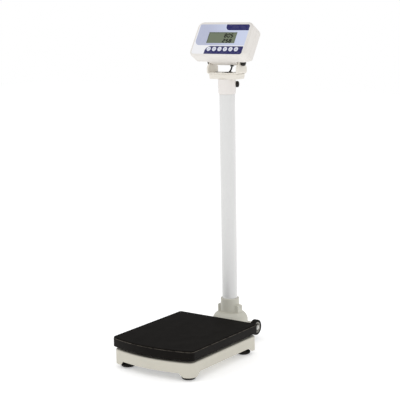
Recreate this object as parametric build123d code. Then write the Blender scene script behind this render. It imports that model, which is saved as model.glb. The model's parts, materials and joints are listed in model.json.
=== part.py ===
from build123d import *
import math
import os

# Electronic column scale for a clinic: a low platform on four screw feet, a tubular column behind
# it with two transport wheels at its base, and a tilting, swivelling display head on top.
# Sizes are in millimetres. +X is the user's right, +Y runs from the platform to the column and +Z
# is up. The origin is on the floor, under the middle of the whole scale.

# ---- driving dimensions -------------------------------------------------------------------------
PLATFORM_Y = -60.0          # middle of the platform's straight sides
COLUMN_Y = PLATFORM_Y + 241.5
WHEEL_Y = PLATFORM_Y + 300.0

COVER_HALF_WIDTH = 150.0
COVER_REAR = 172.0          # rear edge, from the platform's middle
COVER_SIDE_FRONT = -179.0   # where the straight sides end
COVER_BULGE = -204.0        # the bowed front edge's foremost point
COVER_CORNER = 17.0
COVER_REAR_CORNER = 9.0
COVER_BOTTOM = 66.0
COVER_TOP = 92.0
COVER_WALL = 2.5
MAT_THICKNESS = 3.0
MAT_INSET = 1.0

FRAME_INSET = 14.0          # weighing frame inside the cover's outline
FRAME_BOTTOM = 61.0
FRAME_TOP = 86.0
FRAME_SHEET = 3.0

BASE_INSET = 3.0            # base tray inside the cover's outline
BASE_CORNER = 26.0
BASE_REAR_CORNER = 14.0
BASE_BOTTOM = 25.0
BASE_TOP = 58.0
BASE_WALL = 3.0
BASE_EDGE = 4.0
LOBE_BOTTOM = 12.0          # corner skirts that wrap the feet
LOBE_ROOT_HALF = 33.0
LOBE_TIP_HALF = 22.0
LOBE_CORNER = 10.0
TONGUE_HALF = 58.5          # round-ended tongue of the tray under the column
TONGUE_OVERLAP = 30.0
TONGUE_EDGE = 1.5
AXLE_BOX_HALF = 45.0        # lower, narrow end of the tray over the axle
AXLE_BOX_REAR = 314.0
AXLE_BOX_TOP = 53.0
AXLE_BOX_CORNER = 10.0
AXLE_BOX_EDGE = 3.0
WINDOW_HALF = 30.0          # opening in the deck round the load cell
WINDOW_FRONT = -88.0
WINDOW_REAR = 120.0

SPINE_HALF = 30.0           # box-section chassis
SPINE_BOTTOM = 27.0
SPINE_TOP = 45.0
SPINE_WALL = 3.0
SPINE_FRONT = -163.0
SPINE_REAR = 288.0
MEMBER_HALF_LENGTH = 132.0
MEMBER_WIDTH = 26.0
FRONT_FOOT = -150.0
REAR_FOOT = 144.0
FOOT_X = 114.0
STOP_X = 60.0
HOUSING_SCREW_X = 92.0
EAR_INNER = 36.0
EAR_OUTER = 40.0
EAR_TOP = 48.5

PAD_RADIUS = 22.0
FOOT_BOSS_TOP = 19.4
FOOT_STUD_RADIUS = 5.0
FOOT_STUD_TOP = 50.0
NUT_BOTTOM = 19.5

CELL_LENGTH = 150.0
CELL_WIDTH = 40.0
CELL_BOTTOM = 53.0
CELL_TOP = 77.0
CELL_BOLTS = (45.0, 65.0)

WHEEL_Z = 39.5
WHEEL_RADIUS = 25.5
WHEEL_INNER = 51.0
WHEEL_WIDTH = 16.5
TYRE_SHOULDER = 3.0
HUB_RADIUS = 17.5
HUB_RIM = 2.5
HUB_BOSS = 6.0
HUB_OUTER_DISH = 9.0
HUB_INNER_DISH = 4.0
AXLE_RADIUS = 4.0
AXLE_HALF = 70.0
AXLE_GROOVE = 3.2
CLIP_FROM = 67.9
CLIP_TO = 68.9
CLIP_RADIUS = 7.5
SPACER_RADIUS = 6.5

SOCKET_RADIUS = 57.0
SOCKET_NECK = 30.0
SOCKET_TOP = 146.0
SOCKET_FOOT_TOP = 76.0
SOCKET_SHOULDER = (51.5, 89.5)  # radius and height of a point on the round shoulder
SOCKET_DOME_TOP = (37.5, 99.5)
SOCKET_HOLLOW_TOP = 78.0
SOCKET_BOSS_RADIUS = 9.0
SOCKET_BOLT_RADIUS = 4.0
SOCKET_BOLT_TIP = 72.0
LUG_REACH = 39.0
LUG_HALF = 13.0
LUG_TOP = 123.0
TUBE_RADIUS = 25.0
TUBE_BORE = 23.4
TUBE_BOTTOM = 75.0
TUBE_TOP = 849.0
CABLE_BORE = 21.0           # way for the cable under the tube
HEX_SOCKET_RADIUS = 1.5
SOCKET_BOLT_X = 20.0
SOCKET_BOLT_Y = 38.0
SET_SCREW_Z = 115.0
SET_SCREW_RADIUS = 3.0
SET_SCREW_OUTER = 38.5

FERRULE_RADIUS = 28.0
FERRULE_BORE = 26.0
FERRULE_BOTTOM = 805.5
FERRULE_TOP = 853.0
CLAMP_Z = 835.5
CLAMP_ANGLE = 38.0          # clamp knob's direction, from +X towards +Y
CLAMP_RADIUS = 10.0
FERRULE_MOUTH = 26.8
FERRULE_MOUTH_TOP = 811.0
FERRULE_CABLE_BORE = 12.0
BUSH_LIP_BORE = 22.0
CLAMP_STUD_RADIUS = 3.0
CLAMP_KNOB_TIP = 39.0       # from the column's axis
BLOCK_TOP = 869.0
BLOCK_LENGTH = 104.0
BLOCK_DEPTH = 48.0
BLOCK_CORNER = 6.0
BLOCK_FLARE = 2.0
BLOCK_BORE = 14.0
BLOCK_BORE_REACH = 10.0     # how far the block's cable hole is stretched towards +X
SHORT_SCREW_X = 38.0
LONG_SCREW_Y = 19.0
SHORT_SCREW_TIP = 857.0
LONG_SCREW_TIP = 850.5
BRACKET_SCREW_RADIUS = 2.5
BRACKET_SHEET = 4.0
ARM_INNER = 52.0
ARM_OUTER = 57.0
ARM_HALF_DEPTH = 28.5
HINGE_Z = 905.0
ARM_HEAD_RADIUS = 11.5
TILT_KNOB_RADIUS = 11.0
ARM_SHOULDER = -16.0        # arm starts to taper here, below the hinge
WEB_OUTER_BEND = 8.0
WEB_INNER_BEND = 5.0
TILT_KNOB_TIP = 69.5
TILT_STUD_FROM = 32.0
TILT_STUD_RADIUS = 3.0
WASHER_RADIUS = 8.0
WASHER_THICKNESS = 1.2
GROMMET_X = 7.6
GROMMET_Y = COLUMN_Y - 0.8
GROMMET_RADIUS = 11.0
GROMMET_WALL = 2.0
GROMMET_LIP = 2.0

HEAD_TILT = 32.0            # display face leans back from vertical
HEAD_HALF_WIDTH = 103.0
HEAD_LOW = -16.0            # head's lower and upper edges, along its face from the hinge
HEAD_HIGH = 107.0
HEAD_REAR = 13.0            # distances in front of the hinge, square to the face
HEAD_SPLIT = 38.0
HEAD_FRONT = 66.8
HEAD_CORNER = 20.0
HEAD_WALL = 2.5
HEAD_FACE_INNER = 63.5
HEAD_FRONT_EDGE = 7.0
HEAD_SLOPE_LOW = 30.0       # the lower slope of the back starts at this distance
HEAD_SLOPE_HIGH = 10.0      # size of the upper slope of the back
HINGE_BLOCK_HALF = 50.0
HINGE_BLOCK_RADIUS = 9.5

OVERLAY_WIDTH = 189.0
OVERLAY_HEIGHT = 105.0
OVERLAY_MIDDLE = 44.5
OVERLAY_THICKNESS = 0.8
OVERLAY_CORNER = 9.0
LCD_MIDDLE = 3.0
LCD_HALF_WIDTH = 53.2
LCD_LOW = 29.8
LCD_HIGH = 69.8
KEY_RADIUS = 7.5
KEY_FLANGE = 8.6
KEY_PITCH = 20.4
KEY_FIRST_X = -32.1
KEY_ROW = 9.6
KEY_COUNT = 6
KEY_BACK = 61.75

DISPLAY_FRAME_HALF = 60.0
DISPLAY_FRAME_LOW = 25.5
DISPLAY_FRAME_HIGH = 76.0

BOARD_HALF = 87.0
BOARD_LOW = -8.0
BOARD_HIGH = 24.0
BOARD_BACK = 56.0
BOARD_FRONT = 57.6
BOARD_POST_X = 84.0
SWITCH_HALF = 3.0
BATTERY_LOW = 30.0
BATTERY_HIGH = 86.0
BATTERY_HALF = 33.0
BATTERY_PITCH = 16.0
CELL_RADIUS = 7.2
BATTERY_CELL_LENGTH = 50.0
JACK_X = -75.0              # power inlet, in the head's own frame
JACK_UP = 20.0
JACK_RADIUS = 6.0
JACK_BORE = 3.0
JACK_LIP = 8.0
INSERT_RADIUS = 5.0
INSERT_FROM = 34.0
HEAD_BOSS_RADIUS = 4.5
HEAD_SCREW_RADIUS = 1.5
HEAD_SCREW_X = 92.0
HEAD_SCREW_ROWS = (6.0, 93.0)

CORD_RADIUS = 2.5
CORD_JOINT_Z = 838.0
GLAND_X = 22.0
GLAND_Y = COLUMN_Y - 2.5
GLAND_RADIUS = 4.5
GLAND_BORE = 3.6

HEAD_PLANE = Plane(
    origin=(0, COLUMN_Y, HINGE_Z),
    x_dir=(1, 0, 0),
    z_dir=(0, -math.cos(math.radians(HEAD_TILT)), math.sin(math.radians(HEAD_TILT))),
)


# ---- helpers ------------------------------------------------------------------------------------
def block(x0, x1, y0, y1, z0, z1):
    """Box between two corners."""
    return Pos((x0 + x1) / 2, (y0 + y1) / 2, (z0 + z1) / 2) * Box(x1 - x0, y1 - y0, z1 - z0)


def post(radius, z0, z1, x=0.0, y=0.0):
    """Upright cylinder between two heights."""
    return Pos(x, y, (z0 + z1) / 2) * Cylinder(radius, z1 - z0)


def ring(outer, inner, z0, z1, x=0.0, y=0.0):
    """Upright tube between two heights."""
    return post(outer, z0, z1, x, y) - post(inner, z0, z1, x, y)


def crosswise(radius, x0, x1, y, z):
    """Cylinder along X between two stations."""
    return Pos((x0 + x1) / 2, y, z) * Rot(0, 90, 0) * Cylinder(radius, x1 - x0)


def group(shapes):
    """Several separate solids kept in one node."""
    return Compound(children=list(shapes))


def turned(points):
    """Solid of revolution about Z from an (radius, height) outline."""
    outline = make_face(Polyline(*[(r, 0, z) for r, z in points], close=True))
    return revolve(outline, Axis.Z, 360)


def to_head(shape):
    """Move a shape from the head's own frame (x, up the face, out of the face) to the scale's."""
    return shape.moved(HEAD_PLANE.location)


def head_point(x, up, out):
    """A point given in the head's own frame, in the scale's frame."""
    return HEAD_PLANE.from_local_coords(Vector(x, up, out))


def platform_plan(inset, corner, rear_corner):
    """Outline of the platform, moved in by inset: straight sides and rear, bowed front."""
    half = COVER_HALF_WIDTH - inset
    rear = PLATFORM_Y + COVER_REAR - inset
    side = PLATFORM_Y + COVER_SIDE_FRONT + inset
    bulge = PLATFORM_Y + COVER_BULGE + inset
    sides = Polyline((half, side), (half, rear), (-half, rear), (-half, side))
    front = ThreePointArc((-half, side), (0, bulge), (half, side))
    face = make_face(Curve() + [sides, front])
    face = fillet(face.vertices().sort_by(Axis.Y)[:2], corner)
    return fillet(face.vertices().sort_by(Axis.Y)[-2:], rear_corner)


def platform_slab(inset, corner, z0, z1, rear_corner=None):
    """The platform's outline as a slab between two heights."""
    plan = platform_plan(inset, corner, rear_corner or corner)
    return Pos(0, 0, z0) * extrude(plan, z1 - z0)


def tongue_slab(inset, z0, z1):
    """Tongue of the base tray under the column, its end round about the column."""
    half = TONGUE_HALF - inset
    y_front = PLATFORM_Y + COVER_REAR - TONGUE_OVERLAP
    return block(-half, half, y_front, COLUMN_Y, z0, z1) + post(half, z0, z1, 0, COLUMN_Y)


def axle_box_slab(inset, z0, z1):
    """Narrow end of the base tray behind the tongue, over the wheels' axle."""
    half = AXLE_BOX_HALF - inset
    return block(-half, half, COLUMN_Y, PLATFORM_Y + AXLE_BOX_REAR - inset, z0, z1)


def foot_places():
    """The four feet: name, x and y."""
    rows = (("front", PLATFORM_Y + FRONT_FOOT), ("rear", PLATFORM_Y + REAR_FOOT))
    sides = (("left", -FOOT_X), ("right", FOOT_X))
    return [(f"{row}_{side}", x, y) for row, y in rows for side, x in sides]


def on_members(offset):
    """Places on the two cross members, at plus and minus offset in X."""
    rows = (PLATFORM_Y + FRONT_FOOT, PLATFORM_Y + REAR_FOOT)
    return [(x, y) for x in (-offset, offset) for y in rows]


def socket_bolt_places():
    """The four bolts that hold the column's socket to the chassis."""
    return [
        (x, COLUMN_Y + y)
        for x in (-SOCKET_BOLT_X, SOCKET_BOLT_X)
        for y in (-SOCKET_BOLT_Y, SOCKET_BOLT_Y)
    ]


# ---- platform -----------------------------------------------------------------------------------
def platform_cover():
    """Loose black cover: a shallow upturned tray with four ribs that centre it on the frame."""
    cover = platform_slab(0, COVER_CORNER, COVER_BOTTOM, COVER_TOP, COVER_REAR_CORNER)
    hollow = platform_slab(
        COVER_WALL, COVER_CORNER - COVER_WALL, COVER_BOTTOM - 1, COVER_TOP - FRAME_SHEET,
        COVER_REAR_CORNER - COVER_WALL,
    )
    cover -= hollow
    inner = COVER_HALF_WIDTH - COVER_WALL
    frame_edge = COVER_HALF_WIDTH - FRAME_INSET + 0.5
    top = COVER_TOP - FRAME_SHEET
    low = COVER_BOTTOM + 4
    rear_inner = PLATFORM_Y + COVER_REAR - COVER_WALL
    rear_frame = PLATFORM_Y + COVER_REAR - FRAME_INSET + 0.5
    front_frame = PLATFORM_Y + COVER_BULGE + FRAME_INSET - 0.5
    front_inner = PLATFORM_Y + COVER_BULGE + COVER_WALL
    for side in (-1, 1):
        x0, x1 = sorted((side * frame_edge, side * (inner + 1)))
        cover += block(x0, x1, PLATFORM_Y - 8, PLATFORM_Y + 8, low, top)
    cover += block(-8, 8, rear_frame, rear_inner + 1, low, top)
    cover += block(-8, 8, front_inner - 1, front_frame, low, top)
    return cover


def platform_mat():
    """Rubber mat glued on the cover, with a rounded rim."""
    mat = platform_slab(
        MAT_INSET, COVER_CORNER - MAT_INSET, COVER_TOP, COVER_TOP + MAT_THICKNESS,
        COVER_REAR_CORNER - MAT_INSET,
    )
    rim = mat.faces().sort_by(Axis.Z)[-1].edges()
    return fillet(rim, 1.5)


def upper_frame():
    """Pressed steel weighing frame that the load cell lifts: a tray with turned-down flanges."""
    frame = platform_slab(FRAME_INSET, 8, FRAME_BOTTOM, FRAME_TOP)
    inside = FRAME_INSET + FRAME_SHEET
    frame -= platform_slab(inside, 5, FRAME_BOTTOM - 1, FRAME_TOP - FRAME_SHEET)
    for y in CELL_BOLTS:
        frame -= post(3.3, FRAME_TOP - 5, FRAME_TOP + 1, 0, PLATFORM_Y - y)
    return frame


def frame_buffers():
    """Four rubber pads between the weighing frame and the cover."""
    places = [(x, y) for x in (-105, 105) for y in (-125, 125)]
    return group(
        block(x - 12, x + 12, PLATFORM_Y + y - 12, PLATFORM_Y + y + 12, FRAME_TOP, FRAME_TOP + 3)
        for x, y in places
    )


# ---- base ---------------------------------------------------------------------------------------
def base_slab(inset, z0, z1):
    """The tray's outline, moved in by inset, as a slab between two heights."""
    front = BASE_CORNER - inset
    return platform_slab(BASE_INSET + inset, front, z0, z1, BASE_REAR_CORNER - inset)


def lobe_outline(depth):
    """Face of one skirt: wide at the rim, narrower at its round-cornered tip."""
    root = [(0, -LOBE_ROOT_HALF), (0, LOBE_ROOT_HALF)]
    tip = [(depth, LOBE_TIP_HALF), (depth, -LOBE_TIP_HALF)]
    face = make_face(Polyline(*root, *tip, close=True))
    return fillet(face.vertices().sort_by(Axis.X)[-2:], LOBE_CORNER)


def corner_lobes():
    """Rounded skirts below the tray's rim that wrap the outer side of each foot."""
    low = LOBE_BOTTOM - 1
    high = BASE_BOTTOM + 1
    rim = base_slab(0, low, high) - base_slab(BASE_WALL, low - 1, high + 1)
    lobes = []
    for _, x, y in foot_places():
        heading = math.degrees(math.atan2(math.copysign(1, y - PLATFORM_Y), math.copysign(1, x)))
        shape = Rot(0, 90, 0) * extrude(lobe_outline(high - LOBE_BOTTOM), 60)
        lobes.append(rim & (Pos(x, y, high) * Rot(0, 0, heading) * shape))
    return lobes


def base_housing():
    """Cream moulded tray over the chassis, with a tongue under the column and an axle box."""
    tray = base_slab(0, BASE_BOTTOM, BASE_TOP)
    tray = fillet(tray.faces().sort_by(Axis.Z)[-1].edges(), BASE_EDGE)
    tongue = tongue_slab(0, BASE_BOTTOM, BASE_TOP)
    round_rim = tongue.faces().sort_by(Axis.Z)[-1].edges().filter_by(GeomType.CIRCLE)
    tongue = fillet(round_rim, TONGUE_EDGE)
    axle_box = axle_box_slab(0, BASE_BOTTOM, AXLE_BOX_TOP)
    rear_corners = axle_box.edges().filter_by(Axis.Z).sort_by(Axis.Y)[-2:]
    axle_box = fillet(rear_corners, AXLE_BOX_CORNER)
    box_rim = axle_box.faces().sort_by(Axis.Z)[-1].edges()
    axle_box = fillet(box_rim.sort_by(Axis.Y)[1:], AXLE_BOX_EDGE)
    under = BASE_BOTTOM - 1
    ceiling = BASE_TOP - BASE_WALL
    housing = tray + tongue + axle_box
    housing -= base_slab(BASE_WALL, under, ceiling)
    housing -= tongue_slab(BASE_WALL, under, ceiling)
    housing -= axle_box_slab(BASE_WALL, under, AXLE_BOX_TOP - BASE_WALL)
    for lobe in corner_lobes():
        housing += lobe
    for x, y in socket_bolt_places():
        housing += post(8, SPINE_TOP, ceiling, x, y)
    for x, y in on_members(HOUSING_SCREW_X):
        housing += post(6, SPINE_TOP, ceiling, x, y)
    for x, y in socket_bolt_places():
        housing -= post(4.3, SPINE_TOP - 1, BASE_TOP + 1, x, y)
    for x, y in on_members(HOUSING_SCREW_X):
        housing -= post(2.0, SPINE_TOP - 1, ceiling, x, y)
    for x, y in on_members(STOP_X):
        housing -= post(6.5, ceiling - 1, BASE_TOP + 1, x, y)
    housing -= block(
        -WINDOW_HALF, WINDOW_HALF, PLATFORM_Y + WINDOW_FRONT, PLATFORM_Y + WINDOW_REAR,
        ceiling - 1, BASE_TOP + 1,
    )
    housing -= post(CABLE_BORE - 1, ceiling - 1, BASE_TOP + 1, 0, COLUMN_Y)
    reach = AXLE_BOX_HALF + 1
    housing -= crosswise(SPACER_RADIUS + 0.7, -reach, reach, WHEEL_Y, WHEEL_Z)
    return housing


def box_section(x0, x1, y0, y1):
    """Outer block of one box-section beam of the chassis."""
    return block(x0, x1, y0, y1, SPINE_BOTTOM, SPINE_TOP)


def box_bore(x0, x1, y0, y1):
    """Hollow of one box-section beam of the chassis."""
    return block(x0, x1, y0, y1, SPINE_BOTTOM + SPINE_WALL, SPINE_TOP - SPINE_WALL)


def lower_frame():
    """Welded steel chassis: a spine, two cross members for the feet and two ears for the axle."""
    half = MEMBER_WIDTH / 2
    front = PLATFORM_Y + SPINE_FRONT
    rear = PLATFORM_Y + SPINE_REAR
    frame = box_section(-SPINE_HALF, SPINE_HALF, front, rear)
    bores = box_bore(SPINE_WALL - SPINE_HALF, SPINE_HALF - SPINE_WALL, front - 1, rear - 4)
    for y in (PLATFORM_Y + FRONT_FOOT, PLATFORM_Y + REAR_FOOT):
        reach = MEMBER_HALF_LENGTH
        frame += box_section(-reach, reach, y - half, y + half)
        bores += box_bore(-reach - 1, reach + 1, y - half + SPINE_WALL, y + half - SPINE_WALL)
    frame -= bores
    frame += block(-EAR_OUTER, EAR_OUTER, rear - 4, rear, SPINE_BOTTOM, SPINE_TOP)
    for side in (-1, 1):
        x0, x1 = sorted((side * EAR_INNER, side * EAR_OUTER))
        frame += block(x0, x1, rear - EAR_OUTER + EAR_INNER, WHEEL_Y, SPINE_BOTTOM, EAR_TOP)
        frame += crosswise(EAR_TOP - WHEEL_Z, x0, x1, WHEEL_Y, WHEEL_Z)
    frame -= crosswise(AXLE_RADIUS, -50, 50, WHEEL_Y, WHEEL_Z)
    low = SPINE_BOTTOM - 1
    high = SPINE_TOP + 1
    for _, x, y in foot_places():
        frame -= post(FOOT_STUD_RADIUS + 0.05, low, high, x, y)
    for x, y in socket_bolt_places():
        frame -= post(4.3, low, high, x, y)
    for y in CELL_BOLTS:
        frame -= post(3.3, low, high, 0, PLATFORM_Y + y)
    for x, y in on_members(HOUSING_SCREW_X):
        frame -= post(2.6, low, high, x, y)
    for x, y in on_members(STOP_X):
        frame -= post(4, high - 5, high, x, y)
    return frame


def overload_stops():
    """Four posts that catch the weighing frame when the scale is overloaded."""
    return group(
        post(5, SPINE_TOP, FRAME_TOP - FRAME_SHEET - 1.5, x, y)
        + post(4, SPINE_TOP - SPINE_WALL, SPINE_TOP + 1, x, y)
        for x, y in on_members(STOP_X)
    )


def housing_screws():
    """Four screws from below that hold the tray on the cross members."""
    return group(
        post(4.5, SPINE_BOTTOM - 2.5, SPINE_BOTTOM, x, y)
        + post(1.95, SPINE_BOTTOM - 1, SPINE_TOP + 8, x, y)
        for x, y in on_members(HOUSING_SCREW_X)
    )


def foot_pad(x, y):
    """Rubber foot with a rounded underside and a short boss."""
    outline = [(0, 0), (15, 0), (19.5, 1.6), (PAD_RADIUS, 6), (PAD_RADIUS, 8.5), (19, 11)]
    outline += [(9, 12.5), (9, FOOT_BOSS_TOP), (0, FOOT_BOSS_TOP)]
    pad = Pos(x, y, 0) * turned(outline)
    return pad - post(FOOT_STUD_RADIUS, 6, FOOT_BOSS_TOP + 1, x, y)


def foot_stud(x, y):
    """Threaded stud of one foot, shown at its thread's outer size."""
    return post(FOOT_STUD_RADIUS, 6, FOOT_STUD_TOP, x, y)


def foot_lock_nuts():
    """Hexagon nuts under the cross members that lock the studs."""
    hexagon = extrude(RegularPolygon(8.5, 6), SPINE_BOTTOM - NUT_BOTTOM)
    bored = hexagon - post(FOOT_STUD_RADIUS + 0.05, -1, 10)
    return group(Pos(x, y, NUT_BOTTOM) * bored for _, x, y in foot_places())


# ---- load cell ----------------------------------------------------------------------------------
def load_cell():
    """Single-point aluminium load cell with its double-bore spring window."""
    half = CELL_LENGTH / 2
    cell = block(
        -CELL_WIDTH / 2, CELL_WIDTH / 2, PLATFORM_Y - half, PLATFORM_Y + half, CELL_BOTTOM, CELL_TOP
    )
    middle = (CELL_BOTTOM + CELL_TOP) / 2
    for y in (-14, 14):
        cell -= crosswise(8, -CELL_WIDTH, CELL_WIDTH, PLATFORM_Y + y, middle)
    cell -= block(-CELL_WIDTH, CELL_WIDTH, PLATFORM_Y - 14, PLATFORM_Y + 14, middle - 3, middle + 3)
    for y in CELL_BOLTS:
        cell -= post(3, CELL_BOTTOM - 1, CELL_BOTTOM + 15, 0, PLATFORM_Y + y)
        cell -= post(3, CELL_TOP - 15, CELL_TOP + 1, 0, PLATFORM_Y - y)
    return cell


def load_cell_spacers():
    """Steel spacers under the fixed end and over the live end of the load cell."""
    half = CELL_WIDTH / 2
    near, far = 35, CELL_LENGTH / 2
    lower = block(-half, half, PLATFORM_Y + near, PLATFORM_Y + far, SPINE_TOP, CELL_BOTTOM)
    upper = block(
        -half, half, PLATFORM_Y - far, PLATFORM_Y - near, CELL_TOP, FRAME_TOP - FRAME_SHEET
    )
    for y in CELL_BOLTS:
        lower -= post(3.3, SPINE_TOP - 1, CELL_BOTTOM + 1, 0, PLATFORM_Y + y)
        upper -= post(3.3, CELL_TOP - 1, FRAME_TOP, 0, PLATFORM_Y - y)
    return group([lower, upper])


def load_cell_bolts():
    """Two bolts up from the chassis and two down from the weighing frame."""
    bolts = []
    for y in CELL_BOLTS:
        head = post(5, SPINE_BOTTOM - 4, SPINE_BOTTOM, 0, PLATFORM_Y + y)
        bolts.append(head + post(3, SPINE_BOTTOM - 1, CELL_BOTTOM + 14, 0, PLATFORM_Y + y))
        head = post(5.5, FRAME_TOP, FRAME_TOP + 2.4, 0, PLATFORM_Y - y)
        bolts.append(head + post(3, CELL_TOP - 14, FRAME_TOP + 1, 0, PLATFORM_Y - y))
    return group(bolts)


# ---- wheels -------------------------------------------------------------------------------------
def wheel_tyre(side):
    """Rubber tyre with rounded shoulders."""
    middle = side * (WHEEL_INNER + WHEEL_WIDTH / 2)
    tyre = crosswise(
        WHEEL_RADIUS, middle - WHEEL_WIDTH / 2, middle + WHEEL_WIDTH / 2, WHEEL_Y, WHEEL_Z
    )
    tyre = fillet(tyre.edges().filter_by(GeomType.CIRCLE), TYRE_SHOULDER)
    return tyre - crosswise(
        HUB_RADIUS, middle - WHEEL_WIDTH, middle + WHEEL_WIDTH, WHEEL_Y, WHEEL_Z
    )


def wheel_hub(side):
    """Plastic hub: rim, web set deep from outside, and bored boss."""
    inner = side * WHEEL_INNER
    outer = side * (WHEEL_INNER + WHEEL_WIDTH)
    x0, x1 = sorted((inner, outer))
    hub = crosswise(HUB_RADIUS, x0 + 1, x1 - 1, WHEEL_Y, WHEEL_Z)
    for face, depth in ((outer, side * -HUB_OUTER_DISH), (inner, side * HUB_INNER_DISH)):
        dish_x0, dish_x1 = sorted((face, face + depth))
        dish = crosswise(HUB_RADIUS - HUB_RIM, dish_x0, dish_x1, WHEEL_Y, WHEEL_Z)
        hub -= dish - crosswise(HUB_BOSS, dish_x0, dish_x1, WHEEL_Y, WHEEL_Z)
    hub += crosswise(HUB_BOSS, x0, x1, WHEEL_Y, WHEEL_Z)
    return hub - crosswise(AXLE_RADIUS + 0.08, x0 - 1, x1 + 1, WHEEL_Y, WHEEL_Z)


def clip_ring(outer, side):
    """Disc with the groove's bore at one retaining clip."""
    x0, x1 = sorted((side * CLIP_FROM, side * CLIP_TO))
    disc = crosswise(outer, x0, x1, WHEEL_Y, WHEEL_Z)
    return disc - crosswise(AXLE_GROOVE, x0, x1, WHEEL_Y, WHEEL_Z)


def wheel_axle():
    """Steel axle through both ears, grooved near its ends for the clips."""
    axle = crosswise(AXLE_RADIUS, -AXLE_HALF, AXLE_HALF, WHEEL_Y, WHEEL_Z)
    for side in (-1, 1):
        axle -= clip_ring(AXLE_RADIUS + 1, side)
    return axle


def axle_clips():
    """Retaining clips in the axle's grooves."""
    return group(clip_ring(CLIP_RADIUS, side) for side in (-1, 1))


def axle_spacers():
    """Sleeves between the chassis ears and the wheels."""
    sleeves = []
    for side in (-1, 1):
        x0, x1 = sorted((side * EAR_OUTER, side * (WHEEL_INNER - 0.3)))
        outer = crosswise(SPACER_RADIUS, x0, x1, WHEEL_Y, WHEEL_Z)
        sleeves.append(outer - crosswise(AXLE_RADIUS, x0, x1, WHEEL_Y, WHEEL_Z))
    return group(sleeves)


# ---- column -------------------------------------------------------------------------------------
def socket_section():
    """Half section of the socket: round foot, domed shoulder and straight neck."""
    foot = Polyline((0, BASE_TOP), (SOCKET_RADIUS, BASE_TOP), (SOCKET_RADIUS, SOCKET_FOOT_TOP))
    shoulder = ThreePointArc((SOCKET_RADIUS, SOCKET_FOOT_TOP), SOCKET_SHOULDER, SOCKET_DOME_TOP)
    neck = Polyline(
        SOCKET_DOME_TOP, (SOCKET_NECK, SOCKET_DOME_TOP[1]), (SOCKET_NECK, SOCKET_TOP - 2),
        (SOCKET_NECK - 1, SOCKET_TOP), (0, SOCKET_TOP), (0, BASE_TOP),
    )
    return make_face(Curve() + [foot, shoulder, neck])


def column_socket():
    """Cast socket: foot, domed shoulder, and a neck with two lugs beside the tube."""
    socket = revolve(Plane.XZ * socket_section(), Axis.Z, 360)
    for side in (-1, 1):
        x0, x1 = sorted((side * TUBE_RADIUS, side * LUG_REACH))
        lug = block(x0, x1, -LUG_HALF, LUG_HALF, SOCKET_FOOT_TOP, LUG_TOP)
        top_edges = lug.edges().filter_by(Axis.Y).sort_by(Axis.Z)[-2:].sort_by(Axis.X)
        socket += chamfer(top_edges[-1] if side > 0 else top_edges[0], 3)
    socket -= ring(SOCKET_RADIUS - 6, SOCKET_NECK + 2, BASE_TOP - 1, SOCKET_HOLLOW_TOP)
    for x in (-SOCKET_BOLT_X, SOCKET_BOLT_X):
        for y in (-SOCKET_BOLT_Y, SOCKET_BOLT_Y):
            socket += post(SOCKET_BOSS_RADIUS, BASE_TOP, SOCKET_HOLLOW_TOP + 1, x, y)
            socket -= post(SOCKET_BOLT_RADIUS, BASE_TOP - 1, SOCKET_BOLT_TIP + 1, x, y)
    socket -= post(TUBE_RADIUS, TUBE_BOTTOM, SOCKET_TOP + 1)
    socket -= post(CABLE_BORE, BASE_TOP - 1, TUBE_BOTTOM + 1)
    socket -= crosswise(SET_SCREW_RADIUS, -LUG_REACH - 1, LUG_REACH + 1, 0, SET_SCREW_Z)
    return Pos(0, COLUMN_Y, 0) * socket


def column_socket_bolts():
    """Four bolts from under the chassis into the socket's bosses."""
    return group(
        post(6.5, SPINE_BOTTOM - 5, SPINE_BOTTOM, x, y)
        + post(SOCKET_BOLT_RADIUS, SPINE_BOTTOM - 1, SOCKET_BOLT_TIP, x, y)
        for x, y in socket_bolt_places()
    )


def column_set_screws():
    """Grub screws through the two lugs onto the tube."""
    return group(
        crosswise(
            SET_SCREW_RADIUS, *sorted((side * TUBE_RADIUS, side * SET_SCREW_OUTER)),
            COLUMN_Y, SET_SCREW_Z,
        )
        - crosswise(
            HEX_SOCKET_RADIUS, *sorted((side * (SET_SCREW_OUTER - 3), side * LUG_REACH)),
            COLUMN_Y, SET_SCREW_Z,
        )
        for side in (-1, 1)
    )


def column_tube():
    """White steel tube."""
    return ring(TUBE_RADIUS, TUBE_BORE, TUBE_BOTTOM, TUBE_TOP, 0, COLUMN_Y)


# ---- swivel and bracket -------------------------------------------------------------------------
def radial(radius, r0, r1):
    """Cylinder along the clamp knob's direction, between two distances from the column's axis."""
    shape = crosswise(radius, r0, r1, 0, 0)
    return Pos(0, COLUMN_Y, CLAMP_Z) * Rot(0, 0, CLAMP_ANGLE) * shape


def swivel_ferrule():
    """Sleeve that turns on the column's top, closed above except for the cord's hole."""
    outline = [
        (0, FERRULE_BOTTOM), (FERRULE_MOUTH, FERRULE_BOTTOM), (FERRULE_RADIUS, FERRULE_MOUTH_TOP),
        (FERRULE_RADIUS, FERRULE_TOP), (0, FERRULE_TOP),
    ]
    ferrule = Pos(0, COLUMN_Y, 0) * turned(outline)
    ferrule -= post(FERRULE_BORE, FERRULE_BOTTOM - 1, TUBE_TOP + 1, 0, COLUMN_Y)
    ferrule -= post(FERRULE_CABLE_BORE, TUBE_TOP, FERRULE_TOP + 1, 0, COLUMN_Y)
    for y in (-LONG_SCREW_Y, LONG_SCREW_Y):
        ferrule -= post(BRACKET_SCREW_RADIUS, TUBE_TOP, FERRULE_TOP + 1, 0, COLUMN_Y + y)
    return ferrule - radial(CLAMP_STUD_RADIUS + 0.05, 20, 30)


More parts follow.
